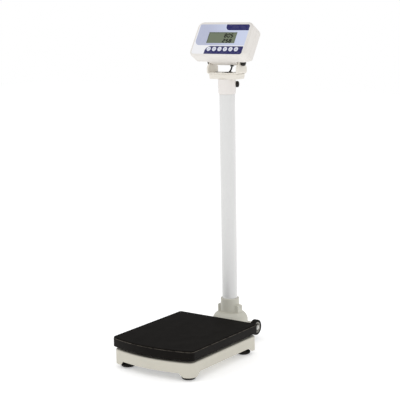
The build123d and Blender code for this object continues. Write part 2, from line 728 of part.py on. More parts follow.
def swivel_bush():
    """Plastic liner between the column and the ferrule, with a flange over the tube's end."""
    bush = ring(FERRULE_BORE, TUBE_RADIUS + 0.08, FERRULE_BOTTOM + 1, TUBE_TOP, 0, COLUMN_Y)
    bush += ring(FERRULE_BORE, BUSH_LIP_BORE, TUBE_TOP, TUBE_TOP + 1, 0, COLUMN_Y)
    return bush - radial(CLAMP_STUD_RADIUS + 0.3, 20, 30)


def clamp_knob():
    """Domed clamp knob of the swivel with its moulded-in threaded stud."""
    head = knob(CLAMP_RADIUS, FERRULE_RADIUS + 0.4, CLAMP_KNOB_TIP)
    stud = crosswise(CLAMP_STUD_RADIUS, TUBE_RADIUS + 0.25, FERRULE_RADIUS + 5, 0, 0)
    return Pos(0, COLUMN_Y, CLAMP_Z) * Rot(0, 0, CLAMP_ANGLE) * (head + stud)


def knob(radius, x0, x1):
    """Knob along X: a straight grip and a domed end."""
    grip = (x1 - x0) * 0.55
    outline = make_face(
        Curve()
        + [
            Polyline((x0, 0), (x0, radius - 0.8), (x0 + 0.8, radius), (x0 + grip, radius)),
            EllipticalCenterArc((x0 + grip, 0), x1 - x0 - grip, radius, 0, arc_size=90),
            Line((x1, 0), (x0, 0)),
        ]
    )
    return revolve(outline, Axis.X, 360)


def bracket_screw_places():
    """Screws through the bracket's web: x, y from the column's axis, and height of the tip."""
    return [
        (-SHORT_SCREW_X, 0, SHORT_SCREW_TIP), (SHORT_SCREW_X, 0, SHORT_SCREW_TIP),
        (0, -LONG_SCREW_Y, LONG_SCREW_TIP), (0, LONG_SCREW_Y, LONG_SCREW_TIP),
    ]


def bracket_block():
    """Moulded block between the ferrule and the U bracket, a little wider at its top."""
    height = BLOCK_TOP - FERRULE_TOP
    flare = math.degrees(math.atan2(BLOCK_FLARE, height))
    body = extrude(RectangleRounded(BLOCK_LENGTH, BLOCK_DEPTH, BLOCK_CORNER), height, taper=-flare)
    body = Pos(0, COLUMN_Y, FERRULE_TOP) * body
    low = FERRULE_TOP - 1
    high = BLOCK_TOP + 1
    for x in (0, BLOCK_BORE_REACH):
        body -= post(BLOCK_BORE, low, high, x, COLUMN_Y)
    body -= block(0, BLOCK_BORE_REACH, COLUMN_Y - BLOCK_BORE, COLUMN_Y + BLOCK_BORE, low, high)
    for x, y, _ in bracket_screw_places():
        body -= post(BRACKET_SCREW_RADIUS, low, high, x, COLUMN_Y + y)
    return body


def arm_profile():
    """Side view of one bracket arm about the hinge: wide foot tapering to a round end."""
    foot = BLOCK_TOP - HINGE_Z
    reach = math.hypot(ARM_HALF_DEPTH, ARM_SHOULDER)
    turn = math.atan2(ARM_SHOULDER, ARM_HALF_DEPTH) + math.acos(ARM_HEAD_RADIUS / reach)
    tip_y = ARM_HEAD_RADIUS * math.cos(turn)
    tip_z = ARM_HEAD_RADIUS * math.sin(turn)
    right = [(ARM_HALF_DEPTH, foot), (ARM_HALF_DEPTH, ARM_SHOULDER), (tip_y, tip_z)]
    left = [(-y, z) for y, z in reversed(right)]
    return make_face(Polyline(*right, *left, close=True)) + Circle(ARM_HEAD_RADIUS)


def u_bracket():
    """Cream U bracket: a web on the block and two arms that carry the head."""
    below = BLOCK_TOP - HINGE_Z
    above = 20
    right = [(ARM_OUTER, below), (ARM_OUTER, above), (ARM_INNER, above)]
    right.append((ARM_INNER, below + BRACKET_SHEET))
    left = [(-x, z) for x, z in reversed(right)]
    section = make_face(Polyline(*right, *left, close=True))
    lower = section.vertices().sort_by(Axis.Y)[:2]
    section = fillet(lower, WEB_OUTER_BEND)
    inside = section.vertices().filter_by_position(Axis.X, -ARM_INNER - 0.1, ARM_INNER + 0.1)
    section = fillet(inside.sort_by(Axis.Y)[:2], WEB_INNER_BEND)
    channel = extrude(Plane.XZ * section, 40, both=True)
    profile = Plane.YZ * arm_profile()
    bracket = channel & extrude(profile, ARM_OUTER + 1, both=True)
    bracket -= crosswise(TILT_STUD_RADIUS + 0.3, -60, 60, 0, 0)
    bracket = Pos(0, COLUMN_Y, HINGE_Z) * bracket
    bracket -= post(GROMMET_RADIUS, BLOCK_TOP - 1, BLOCK_TOP + 9, GROMMET_X, GROMMET_Y)
    for x, y, _ in bracket_screw_places():
        bracket -= post(BRACKET_SCREW_RADIUS + 0.3, BLOCK_TOP - 1, BLOCK_TOP + 9, x, COLUMN_Y + y)
    return bracket


def bracket_screws():
    """Two short screws into the block and two long ones through it into the ferrule."""
    web_top = BLOCK_TOP + BRACKET_SHEET
    screws = []
    for x, y, tip in bracket_screw_places():
        head = post(4.5, web_top, web_top + 3, x, COLUMN_Y + y)
        head -= post(HEX_SOCKET_RADIUS, web_top + 1.2, web_top + 4, x, COLUMN_Y + y)
        screws.append(head + post(BRACKET_SCREW_RADIUS, tip, web_top + 0.5, x, COLUMN_Y + y))
    return group(screws)


def bracket_grommet():
    """Rubber grommet in the web, round the head's cord."""
    web_top = BLOCK_TOP + BRACKET_SHEET
    lip = GROMMET_RADIUS + GROMMET_LIP
    sleeve = post(GROMMET_RADIUS, BLOCK_TOP - 1, web_top + 1, GROMMET_X, GROMMET_Y)
    sleeve += post(lip, web_top, web_top + 1.5, GROMMET_X, GROMMET_Y)
    sleeve += post(lip, BLOCK_TOP - 1.5, BLOCK_TOP, GROMMET_X, GROMMET_Y)
    bore = GROMMET_RADIUS - GROMMET_WALL
    return sleeve - post(bore, BLOCK_TOP - 3, web_top + 3, GROMMET_X, GROMMET_Y)


def tilt_washers():
    """Plain washers between the arms and the tilt knobs."""
    washers = []
    for side in (-1, 1):
        x0, x1 = sorted((side * ARM_OUTER, side * (ARM_OUTER + WASHER_THICKNESS)))
        outer = crosswise(WASHER_RADIUS, x0, x1, COLUMN_Y, HINGE_Z)
        washers.append(outer - crosswise(TILT_STUD_RADIUS + 0.3, x0, x1, COLUMN_Y, HINGE_Z))
    return group(washers)


def tilt_knob(side):
    """Domed tilt knob with the moulded-in stud that the head turns on."""
    knob_from = ARM_OUTER + WASHER_THICKNESS + 0.2
    shape = knob(TILT_KNOB_RADIUS, knob_from, TILT_KNOB_TIP)
    shape += crosswise(TILT_STUD_RADIUS, TILT_STUD_FROM, knob_from + 5, 0, 0)
    turn = 0 if side > 0 else 180
    return Pos(0, COLUMN_Y, HINGE_Z) * Rot(0, 0, turn) * shape


# ---- display head -------------------------------------------------------------------------------
def face_slab(width, low, high, corner, out0, out1):
    """Rounded rectangle parallel to the display's face, in the head's own frame."""
    plan = RectangleRounded(width, high - low, corner)
    return Pos(0, (low + high) / 2, out0) * extrude(plan, out1 - out0)


def side_prism(points, half_width):
    """Prism across the head from an outline of (up, out) points, in the head's own frame."""
    outline = make_face(Polyline(*[(0, up, out) for up, out in points], close=True))
    return extrude(outline, half_width, dir=(1, 0, 0), both=True)


def screw_places():
    """The head's four case screws, in the head's own frame."""
    return [(x, up) for x in (-HEAD_SCREW_X, HEAD_SCREW_X) for up in HEAD_SCREW_ROWS]


def key_places():
    """The six keys, left to right, in the head's own frame."""
    return [(KEY_FIRST_X + KEY_PITCH * i, KEY_ROW) for i in range(KEY_COUNT)]


def window(margin):
    """Cutter for the display's window, wider than the glass by a margin on each side."""
    left = LCD_MIDDLE - LCD_HALF_WIDTH - margin
    right = LCD_MIDDLE + LCD_HALF_WIDTH + margin
    return block(left, right, LCD_LOW - margin, LCD_HIGH + margin, 60, 70)


def head_front_shell():
    """Front half of the head's case: face, recess for the overlay, and bosses."""
    shell = face_slab(
        2 * HEAD_HALF_WIDTH, HEAD_LOW, HEAD_HIGH, HEAD_CORNER, HEAD_SPLIT, HEAD_FRONT
    )
    shell = fillet(shell.faces().sort_by(Axis.Z)[-1].edges(), HEAD_FRONT_EDGE)
    shell -= face_slab(
        2 * (HEAD_HALF_WIDTH - HEAD_WALL), HEAD_LOW + HEAD_WALL, HEAD_HIGH - HEAD_WALL,
        HEAD_CORNER - HEAD_WALL, HEAD_SPLIT - 1, HEAD_FACE_INNER,
    )
    shell -= face_slab(
        OVERLAY_WIDTH, OVERLAY_MIDDLE - OVERLAY_HEIGHT / 2, OVERLAY_MIDDLE + OVERLAY_HEIGHT / 2,
        OVERLAY_CORNER, HEAD_FRONT - OVERLAY_THICKNESS, HEAD_FRONT + 1,
    )
    shell -= window(0.6)
    for x, up in key_places():
        shell -= post(KEY_RADIUS + 0.4, 60, 70, x, up)
    for x, up in screw_places():
        shell += post(HEAD_BOSS_RADIUS, HEAD_SPLIT, HEAD_FACE_INNER + 0.5, x, up)
        shell -= post(HEAD_SCREW_RADIUS, HEAD_SPLIT - 1, 60, x, up)
    for x in (-BOARD_POST_X, BOARD_POST_X):
        shell += post(2.5, BOARD_FRONT, HEAD_FACE_INNER + 0.5, x, BOARD_HIGH - 4)
    return to_head(shell)


def rear_outline(inset):
    """Side outline of the rear case as (up, out) points, moved in by inset."""
    low = HEAD_LOW + inset
    high = HEAD_HIGH - inset
    rear = HEAD_REAR + inset
    slope = inset * 0.45
    return [
        (low, HEAD_SPLIT), (low, HEAD_SLOPE_LOW + slope), (slope, rear),
        (high - HEAD_SLOPE_HIGH - slope, rear), (high, rear + HEAD_SLOPE_HIGH + slope),
        (high, HEAD_SPLIT),
    ]


def hinge_lug():
    """Solid lug behind the case that carries the tilt studs, rounded about the hinge."""
    corner_low = (HEAD_LOW, HEAD_SLOPE_LOW)
    corner_high = (16.0, HEAD_REAR)
    tangents = []
    for (up, out), sign in ((corner_low, 1), (corner_high, -1)):
        reach = math.hypot(up, out)
        turn = math.atan2(out, up) + sign * math.acos(HINGE_BLOCK_RADIUS / reach)
        tangents.append((HINGE_BLOCK_RADIUS * math.cos(turn), HINGE_BLOCK_RADIUS * math.sin(turn)))
    points = [corner_low, tangents[0], tangents[1], corner_high, (14.0, 16.0), (-13.5, 32.0)]
    lug = side_prism(points, HINGE_BLOCK_HALF)
    return lug + crosswise(HINGE_BLOCK_RADIUS, -HINGE_BLOCK_HALF, HINGE_BLOCK_HALF, 0, 0)


def head_rear_shell():
    """Rear half of the head's case with the hinge lug and its hollow for the cord."""
    plan = face_slab(
        2 * HEAD_HALF_WIDTH, HEAD_LOW, HEAD_HIGH, HEAD_CORNER, HEAD_REAR, HEAD_SPLIT
    )
    shell = plan & side_prism(rear_outline(0), HEAD_HALF_WIDTH + 1)
    shell += hinge_lug()
    inner = face_slab(
        2 * (HEAD_HALF_WIDTH - HEAD_WALL), HEAD_LOW + HEAD_WALL, HEAD_HIGH - HEAD_WALL,
        HEAD_CORNER - HEAD_WALL, HEAD_REAR, HEAD_SPLIT + 1,
    )
    inner &= side_prism(rear_outline(HEAD_WALL), HEAD_HALF_WIDTH + 1)
    shell -= inner
    shell -= block(-28, 28, -6, 5.5, -3, 8) + block(-28, 28, -7, 8.5, 5, 20)
    for side in (-1, 1):
        x0, x1 = sorted((side * (INSERT_FROM - 3), side * (HINGE_BLOCK_HALF + 1)))
        shell -= crosswise(INSERT_RADIUS, x0, x1, 0, 0)
    for x, up in screw_places():
        shell += post(HEAD_BOSS_RADIUS, HEAD_REAR + 1, HEAD_SPLIT, x, up)
        shell -= post(2, HEAD_REAR - 1, HEAD_SPLIT + 1, x, up)
        shell -= post(3.6, HEAD_REAR - 1, HEAD_REAR + 3, x, up)
    shell -= post(JACK_RADIUS, HEAD_REAR - 1, HEAD_REAR + 5, JACK_X, JACK_UP)
    shell = to_head(shell)
    return shell - post(GLAND_RADIUS, 880, 903, GLAND_X, GLAND_Y)


def head_screws():
    """Four case screws from the rear."""
    screws = []
    for x, up in screw_places():
        head = post(3.4, HEAD_REAR + 0.6, HEAD_REAR + 3, x, up)
        head -= post(1.2, HEAD_REAR, HEAD_REAR + 2, x, up)
        screws.append(to_head(head + post(HEAD_SCREW_RADIUS, HEAD_REAR + 2.5, 56, x, up)))
    return group(screws)


def hinge_inserts():
    """Threaded brass inserts pressed into the ends of the hinge lug."""
    inserts = []
    for side in (-1, 1):
        x0, x1 = sorted((side * INSERT_FROM, side * HINGE_BLOCK_HALF))
        outer = crosswise(INSERT_RADIUS, x0, x1, COLUMN_Y, HINGE_Z)
        inserts.append(outer - crosswise(TILT_STUD_RADIUS + 0.05, x0, x1, COLUMN_Y, HINGE_Z))
    return group(inserts)


def hinge_friction_discs():
    """Fibre discs between the hinge lug and the arms."""
    discs = []
    for side in (-1, 1):
        x0, x1 = sorted((side * HINGE_BLOCK_HALF, side * (ARM_INNER - 0.1)))
        outer = crosswise(HINGE_BLOCK_RADIUS - 0.5, x0, x1, COLUMN_Y, HINGE_Z)
        discs.append(outer - crosswise(TILT_STUD_RADIUS + 0.3, x0, x1, COLUMN_Y, HINGE_Z))
    return group(discs)


def overlay_panel():
    """Printed face film with openings for the display and the keys."""
    film = face_slab(
        OVERLAY_WIDTH, OVERLAY_MIDDLE - OVERLAY_HEIGHT / 2, OVERLAY_MIDDLE + OVERLAY_HEIGHT / 2,
        OVERLAY_CORNER, HEAD_FRONT - OVERLAY_THICKNESS, HEAD_FRONT,
    )
    film -= window(-0.6)
    for x, up in key_places():
        film -= post(KEY_RADIUS + 0.4, 60, 70, x, up)
    return to_head(film)


def display_module():
    """Liquid crystal module: frame behind the face and raised glass in the window."""
    glass_top = HEAD_FRONT - OVERLAY_THICKNESS - 0.1
    left = LCD_MIDDLE - DISPLAY_FRAME_HALF
    right = LCD_MIDDLE + DISPLAY_FRAME_HALF
    frame = block(left, right, DISPLAY_FRAME_LOW, DISPLAY_FRAME_HIGH, 57, HEAD_FACE_INNER)
    glass = block(
        LCD_MIDDLE - LCD_HALF_WIDTH, LCD_MIDDLE + LCD_HALF_WIDTH, LCD_LOW, LCD_HIGH,
        HEAD_FACE_INNER - 1, glass_top,
    )
    return to_head(frame + glass)


def key(x, up):
    """Round key cap with a retaining flange behind the face."""
    cap = post(KEY_RADIUS, HEAD_FACE_INNER - 1, HEAD_FRONT + 0.8, x, up)
    cap = chamfer(cap.edges().sort_by(Axis.Z)[-1], 0.4)
    flange = post(KEY_FLANGE, KEY_BACK, HEAD_FACE_INNER - 0.2, x, up)
    return to_head(cap + flange)


def main_board():
    """Circuit board with the six switches under the keys and parts on its back."""
    board = block(-BOARD_HALF, BOARD_HALF, BOARD_LOW, BOARD_HIGH, BOARD_BACK, BOARD_FRONT)
    into_board = BOARD_BACK + 0.5
    for x, up in key_places():
        board += block(
            x - SWITCH_HALF, x + SWITCH_HALF, up - SWITCH_HALF, up + SWITCH_HALF,
            BOARD_FRONT - 0.6, KEY_BACK - 0.85,
        )
    board += block(GLAND_X - 8, GLAND_X + 8, -7, 1, BOARD_BACK - 6, into_board)
    board += block(-52, -34, 0, 18, BOARD_BACK - 2.5, into_board)
    board += block(42, 60, 8, 20, BOARD_BACK - 3, into_board)
    for x in (-72, -64, 72):
        board += post(3.5, BOARD_BACK - 9, into_board, x, 14)
    return to_head(board)


def battery_pack():
    """Four rechargeable cells side by side on a holder in the rear case."""
    back = HEAD_REAR + HEAD_WALL
    front = back + 3
    holder = block(-BATTERY_HALF, BATTERY_HALF, BATTERY_LOW, BATTERY_HIGH, back, front)
    pieces = [holder]
    middle = (BATTERY_LOW + BATTERY_HIGH) / 2
    for i in range(4):
        x = BATTERY_PITCH * (i - 1.5)
        lying = Rot(90, 0, 0) * Cylinder(CELL_RADIUS, BATTERY_CELL_LENGTH)
        pieces.append(Pos(x, middle, front + CELL_RADIUS + 0.3) * lying)
    return group(to_head(piece) for piece in pieces)


def dc_jack():
    """Round power inlet in the rear of the case."""
    jack = post(JACK_RADIUS, HEAD_REAR, HEAD_REAR + 14, JACK_X, JACK_UP)
    jack += post(JACK_LIP, HEAD_REAR - 1.5, HEAD_REAR, JACK_X, JACK_UP)
    jack -= post(JACK_BORE, HEAD_REAR - 2, HEAD_REAR + 10, JACK_X, JACK_UP)
    return to_head(jack)


def cable_gland():
    """Rubber gland in the underside of the hinge lug."""
    gland = post(GLAND_RADIUS, 893, 898, GLAND_X, GLAND_Y)
    gland += post(GLAND_RADIUS + 2, 892.3, 894.9, GLAND_X, GLAND_Y)
    return gland - post(GLAND_BORE, 891, 899, GLAND_X, GLAND_Y)


# ---- cords --------------------------------------------------------------------------------------
def cord(points, radii):
    """Round cord along a hand-chosen route with a bend radius at each inner point."""
    path = FilletPolyline(*[Vector(*point) for point in points], radius=radii)
    start = Plane(origin=path @ 0, z_dir=path % 0)
    tube = sweep(start * Circle(CORD_RADIUS), path=path)
    wanted = math.pi * CORD_RADIUS**2 * path.length
    print("cord length", round(path.length, 1), "bend radii", radii)
    print("volume over a straight cord's", round(tube.volume / wanted, 4))
    return tube


def load_cell_cable():
    """Lead from the load cell, under the deck and up inside the column."""
    cell_end = PLATFORM_Y + CELL_LENGTH / 2
    route = [
        (0, cell_end, 65), (0, cell_end + 17, 65), (0, cell_end + 33, 50),
        (0, COLUMN_Y, 50), (0, COLUMN_Y, CORD_JOINT_Z),
    ]
    return cord(route, [19, 25, 22])


def head_cable():
    """Cord from the column's top through the grommet and the gland to the circuit board."""
    plug = head_point(GLAND_X, -3, 48.8)
    route = [
        (0, COLUMN_Y, CORD_JOINT_Z), (0, COLUMN_Y, 866.3), (GLAND_X, GLAND_Y, 883.5),
        (GLAND_X, GLAND_Y, 914), (plug.X, plug.Y, plug.Z),
    ]
    return cord(route, [23, 32, 19])


# ---- assembly -----------------------------------------------------------------------------------
def all_parts():
    """Every node of the scale by name."""
    parts = {
        "platform_cover": platform_cover(),
        "platform_mat": platform_mat(),
        "upper_frame": upper_frame(),
        "frame_buffers": frame_buffers(),
        "base_housing": base_housing(),
        "lower_frame": lower_frame(),
        "overload_stops": overload_stops(),
        "housing_screws": housing_screws(),
        "foot_lock_nuts": foot_lock_nuts(),
        "load_cell": load_cell(),
        "load_cell_spacers": load_cell_spacers(),
        "load_cell_bolts": load_cell_bolts(),
        "load_cell_cable": load_cell_cable(),
        "wheel_axle": wheel_axle(),
        "axle_clips": axle_clips(),
        "axle_spacers": axle_spacers(),
        "column_socket": column_socket(),
        "column_socket_bolts": column_socket_bolts(),
        "column_set_screws": column_set_screws(),
        "column_tube": column_tube(),
        "swivel_ferrule": swivel_ferrule(),
        "swivel_bush": swivel_bush(),
        "clamp_knob": clamp_knob(),
        "bracket_block": bracket_block(),
        "u_bracket": u_bracket(),
        "bracket_screws": bracket_screws(),
        "bracket_grommet": bracket_grommet(),
        "tilt_washers": tilt_washers(),
        "head_front_shell": head_front_shell(),
        "head_rear_shell": head_rear_shell(),
        "head_screws": head_screws(),
        "hinge_inserts": hinge_inserts(),
        "hinge_friction_discs": hinge_friction_discs(),
        "overlay_panel": overlay_panel(),
        "display_module": display_module(),
        "main_board": main_board(),
        "battery_pack": battery_pack(),
        "dc_jack": dc_jack(),
        "cable_gland": cable_gland(),
        "head_cable": head_cable(),
    }
    for name, x, y in foot_places():
        parts[f"foot_pad_{name}"] = foot_pad(x, y)
        parts[f"foot_stud_{name}"] = foot_stud(x, y)
    for name, side in (("left", -1), ("right", 1)):
        parts[f"wheel_tyre_{name}"] = wheel_tyre(side)
        parts[f"wheel_hub_{name}"] = wheel_hub(side)
        parts[f"tilt_knob_{name}"] = tilt_knob(side)
    for number, (x, up) in enumerate(key_places(), start=1):
        parts[f"key_{number}"] = key(x, up)
    return parts


os.makedirs("parts", exist_ok=True)
for node, shape in all_parts().items():
    export_step(shape, f"parts/{node}.step")
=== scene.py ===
"""Looks of a clinic column scale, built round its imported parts.

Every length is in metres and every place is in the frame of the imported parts: +X is the user's
right, +Y runs from the platform to the column, +Z is up and the floor is at zero.
"""

import json
import logging
import math
from collections.abc import Callable
from dataclasses import dataclass, field
from enum import Enum
from functools import cached_property

import bmesh
import bpy
from mathutils import Matrix, Vector


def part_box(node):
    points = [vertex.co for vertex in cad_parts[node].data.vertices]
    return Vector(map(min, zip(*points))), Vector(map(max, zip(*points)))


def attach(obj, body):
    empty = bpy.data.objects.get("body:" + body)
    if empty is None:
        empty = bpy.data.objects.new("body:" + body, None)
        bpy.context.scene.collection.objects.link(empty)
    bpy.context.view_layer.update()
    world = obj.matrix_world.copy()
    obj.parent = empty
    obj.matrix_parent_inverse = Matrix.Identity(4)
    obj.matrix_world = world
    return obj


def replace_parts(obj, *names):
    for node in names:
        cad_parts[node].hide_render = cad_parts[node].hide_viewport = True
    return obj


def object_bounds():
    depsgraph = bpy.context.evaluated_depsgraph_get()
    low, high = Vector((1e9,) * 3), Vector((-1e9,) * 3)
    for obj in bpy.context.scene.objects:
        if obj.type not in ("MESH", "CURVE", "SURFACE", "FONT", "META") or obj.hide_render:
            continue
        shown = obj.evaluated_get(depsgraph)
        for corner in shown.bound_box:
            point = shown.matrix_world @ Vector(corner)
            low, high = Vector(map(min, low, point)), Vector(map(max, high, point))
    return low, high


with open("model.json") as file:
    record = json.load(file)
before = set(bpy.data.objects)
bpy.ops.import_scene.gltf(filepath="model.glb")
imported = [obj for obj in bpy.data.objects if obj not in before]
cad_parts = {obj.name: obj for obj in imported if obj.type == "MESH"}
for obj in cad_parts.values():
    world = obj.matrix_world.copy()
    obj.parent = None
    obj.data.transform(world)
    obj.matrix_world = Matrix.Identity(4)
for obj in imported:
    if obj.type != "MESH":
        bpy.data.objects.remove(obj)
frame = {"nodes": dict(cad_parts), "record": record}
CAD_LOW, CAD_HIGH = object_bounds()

LOG = logging.getLogger("column_scale")
RECORD = frame["record"]
JOINTS = {joint["name"]: joint for joint in RECORD["behaviour"]["joints"]}
BODY_OF = {
    node: body for body, nodes in RECORD["behaviour"]["bodies"].items() for node in nodes
}


class Side(Enum):
    """The user's left and right hand."""

    LEFT = -1
    RIGHT = 1

    @property
    def word(self) -> str:
        """The side's name in lower case."""
        return self.name.lower()


class Lay(Enum):
    """Direction that brushed or drawn metal runs in."""

    ALONG_X = 0
    ALONG_Y = 1
    ALONG_Z = 2


# ---- colour and node helpers --------------------------------------------------------------------
SRGB_KNEE = 0.04045         # the standard's curve from everyday to linear colour
SRGB_SLOPE = 12.92
SRGB_OFFSET = 0.055
SRGB_POWER = 2.4


def linear(red: int, green: int, blue: int) -> tuple[float, float, float, float]:
    """Turn an everyday 0 to 255 colour into the linear one that shaders use.

    Args:
        red: Red, 0 to 255.
        green: Green, 0 to 255.
        blue: Blue, 0 to 255.

    Returns:
        Linear red, green and blue, and an alpha of one.
    """
    channels = []
    for value in (red, green, blue):
        part = value / 255
        curved = ((part + SRGB_OFFSET) / (1 + SRGB_OFFSET)) ** SRGB_POWER
        channels.append(part / SRGB_SLOPE if part <= SRGB_KNEE else curved)
    return (channels[0], channels[1], channels[2], 1.0)


def shade(colour: tuple[float, ...], factor: float) -> tuple[float, float, float, float]:
    """Darken or lighten a linear colour.

    Args:
        colour: Linear colour.
        factor: Multiplier of each channel.

    Returns:
        The new linear colour.
    """
    return tuple(min(1.0, channel * factor) for channel in colour[:3]) + (1.0,)


class Wiring:
    """A node tree being filled in."""

    def __init__(self, tree: bpy.types.NodeTree) -> None:
        """Hold the tree.

        Args:
            tree: The node tree to fill.
        """
        self.tree = tree

    def add(self, kind: str, settings: dict | None = None, **values: object) -> bpy.types.Node:
        """Add a node.

        Args:
            kind: Node type without its ShaderNode prefix.
            settings: Node attributes to set.
            values: Input names, spaces as underscores, and a value or an output to wire in.

        Returns:
            The new node.
        """
        name = kind if kind.startswith("Node") else "ShaderNode" + kind
        node = self.tree.nodes.new(name)
        for attribute, value in (settings or {}).items():
            setattr(node, attribute, value)
        for key, value in values.items():
            self.feed(node.inputs[key.replace("_", " ")], value)
        return node

    def feed(self, socket: bpy.types.NodeSocket, value: object) -> None:
        """Wire an output into a socket, or set its constant.

        Args:
            socket: The input to feed.
            value: An output socket, or a constant.
        """
        if isinstance(value, bpy.types.NodeSocket):
            self.tree.links.new(value, socket)
        else:
            socket.default_value = value

    def maths(self, operation: str, first: object, second: object = 0.0) -> bpy.types.NodeSocket:
        """Add a Math node.

        Args:
            operation: Blender's name of the operation.
            first: First value or output.
            second: Second value or output.

        Returns:
            The result's output.
        """
        node = self.tree.nodes.new("ShaderNodeMath")
        node.operation = operation
        self.feed(node.inputs[0], first)
        self.feed(node.inputs[1], second)
        return node.outputs[0]

    def vector(self, operation: str, first: object, second: object) -> bpy.types.Node:
        """Add a Vector Math node.

        Args:
            operation: Blender's name of the operation.
            first: First vector or output.
            second: Second vector or output.

        Returns:
            The node.
        """
        node = self.tree.nodes.new("ShaderNodeVectorMath")
        node.operation = operation
        self.feed(node.inputs[0], first)
        self.feed(node.inputs[1], second)
        return node

    def ramp(self, value: object, low: float, high: float) -> bpy.types.NodeSocket:
        """Spread a value from low to high over nought to one, smoothly and clamped.

        Args:
            value: Value or output to spread.
            low: Value that gives nought.
            high: Value that gives one.

        Returns:
            The result's output.
        """
        node = self.tree.nodes.new("ShaderNodeMapRange")
        node.interpolation_type = "SMOOTHSTEP"
        self.feed(node.inputs["Value"], value)
        node.inputs["From Min"].default_value = low
        node.inputs["From Max"].default_value = high
        return node.outputs["Result"]

    def noise(
        self, scale: object, detail: float, roughness: float = 0.5, point: object = None
    ) -> bpy.types.NodeSocket:
        """Add smooth noise.

        Args:
            scale: Patches per metre, as a number or an output.
            detail: Layers of finer noise.
            roughness: Strength of the finer layers.
            point: Output with the place to look up, or none for the surface point.

        Returns:
            The noise's output, about nought to one.
        """
        where = self.place() if point is None else point
        node = self.add("TexNoise", Vector=where, Scale=scale, Detail=detail, Roughness=roughness)
        return node.outputs["Fac"]

    def length(self, vector: object) -> bpy.types.NodeSocket:
        """Length of a vector.

        Args:
            vector: The vector's output.

        Returns:
            The length's output.
        """
        node = self.add("VectorMath", {"operation": "LENGTH"})
        self.feed(node.inputs[0], vector)
        return node.outputs["Value"]

    def blend(self, mask: object, below: object, above: object) -> bpy.types.NodeSocket:
        """Mix two colours.

        Args:
            mask: Share of the colour above.
            below: Colour where the mask is nought.
            above: Colour where the mask is one.

        Returns:
            The mixed colour's output.
        """
        node = self.tree.nodes.new("ShaderNodeMix")
        node.data_type = "RGBA"
        self.feed(node.inputs[0], mask)
        self.feed(node.inputs[6], below)
        self.feed(node.inputs[7], above)
        return node.outputs[2]

    def place(self) -> bpy.types.NodeSocket:
        """The surface point in the part's own frame."""
        return self.add("TexCoord").outputs["Object"]

    def group(self, tree: bpy.types.NodeTree, **values: object) -> bpy.types.Node:
        """Place a shared effect.

        Args:
            tree: The node group.
            values: Its inputs by name, spaces as underscores.

        Returns:
            The group node.
        """
        node = self.tree.nodes.new("ShaderNodeGroup")
        node.node_tree = tree
        for key, value in values.items():
            self.feed(node.inputs[key.replace("_", " ")], value)
        return node


BLACK = (0.0, 0.0, 0.0, 1.0)
WHITE = (1.0, 1.0, 1.0, 1.0)
DUST_COLOUR = linear(150, 145, 138)
SPECK_STRENGTH = 0.15       # how far single grains darken
BUMP_STRENGTH = 0.6
GRAIN_IN_LINES = 0.3        # share of the grain left between drawn lines or pebbles
PRINT_SOFTNESS = 0.00012    # half width of a printed edge


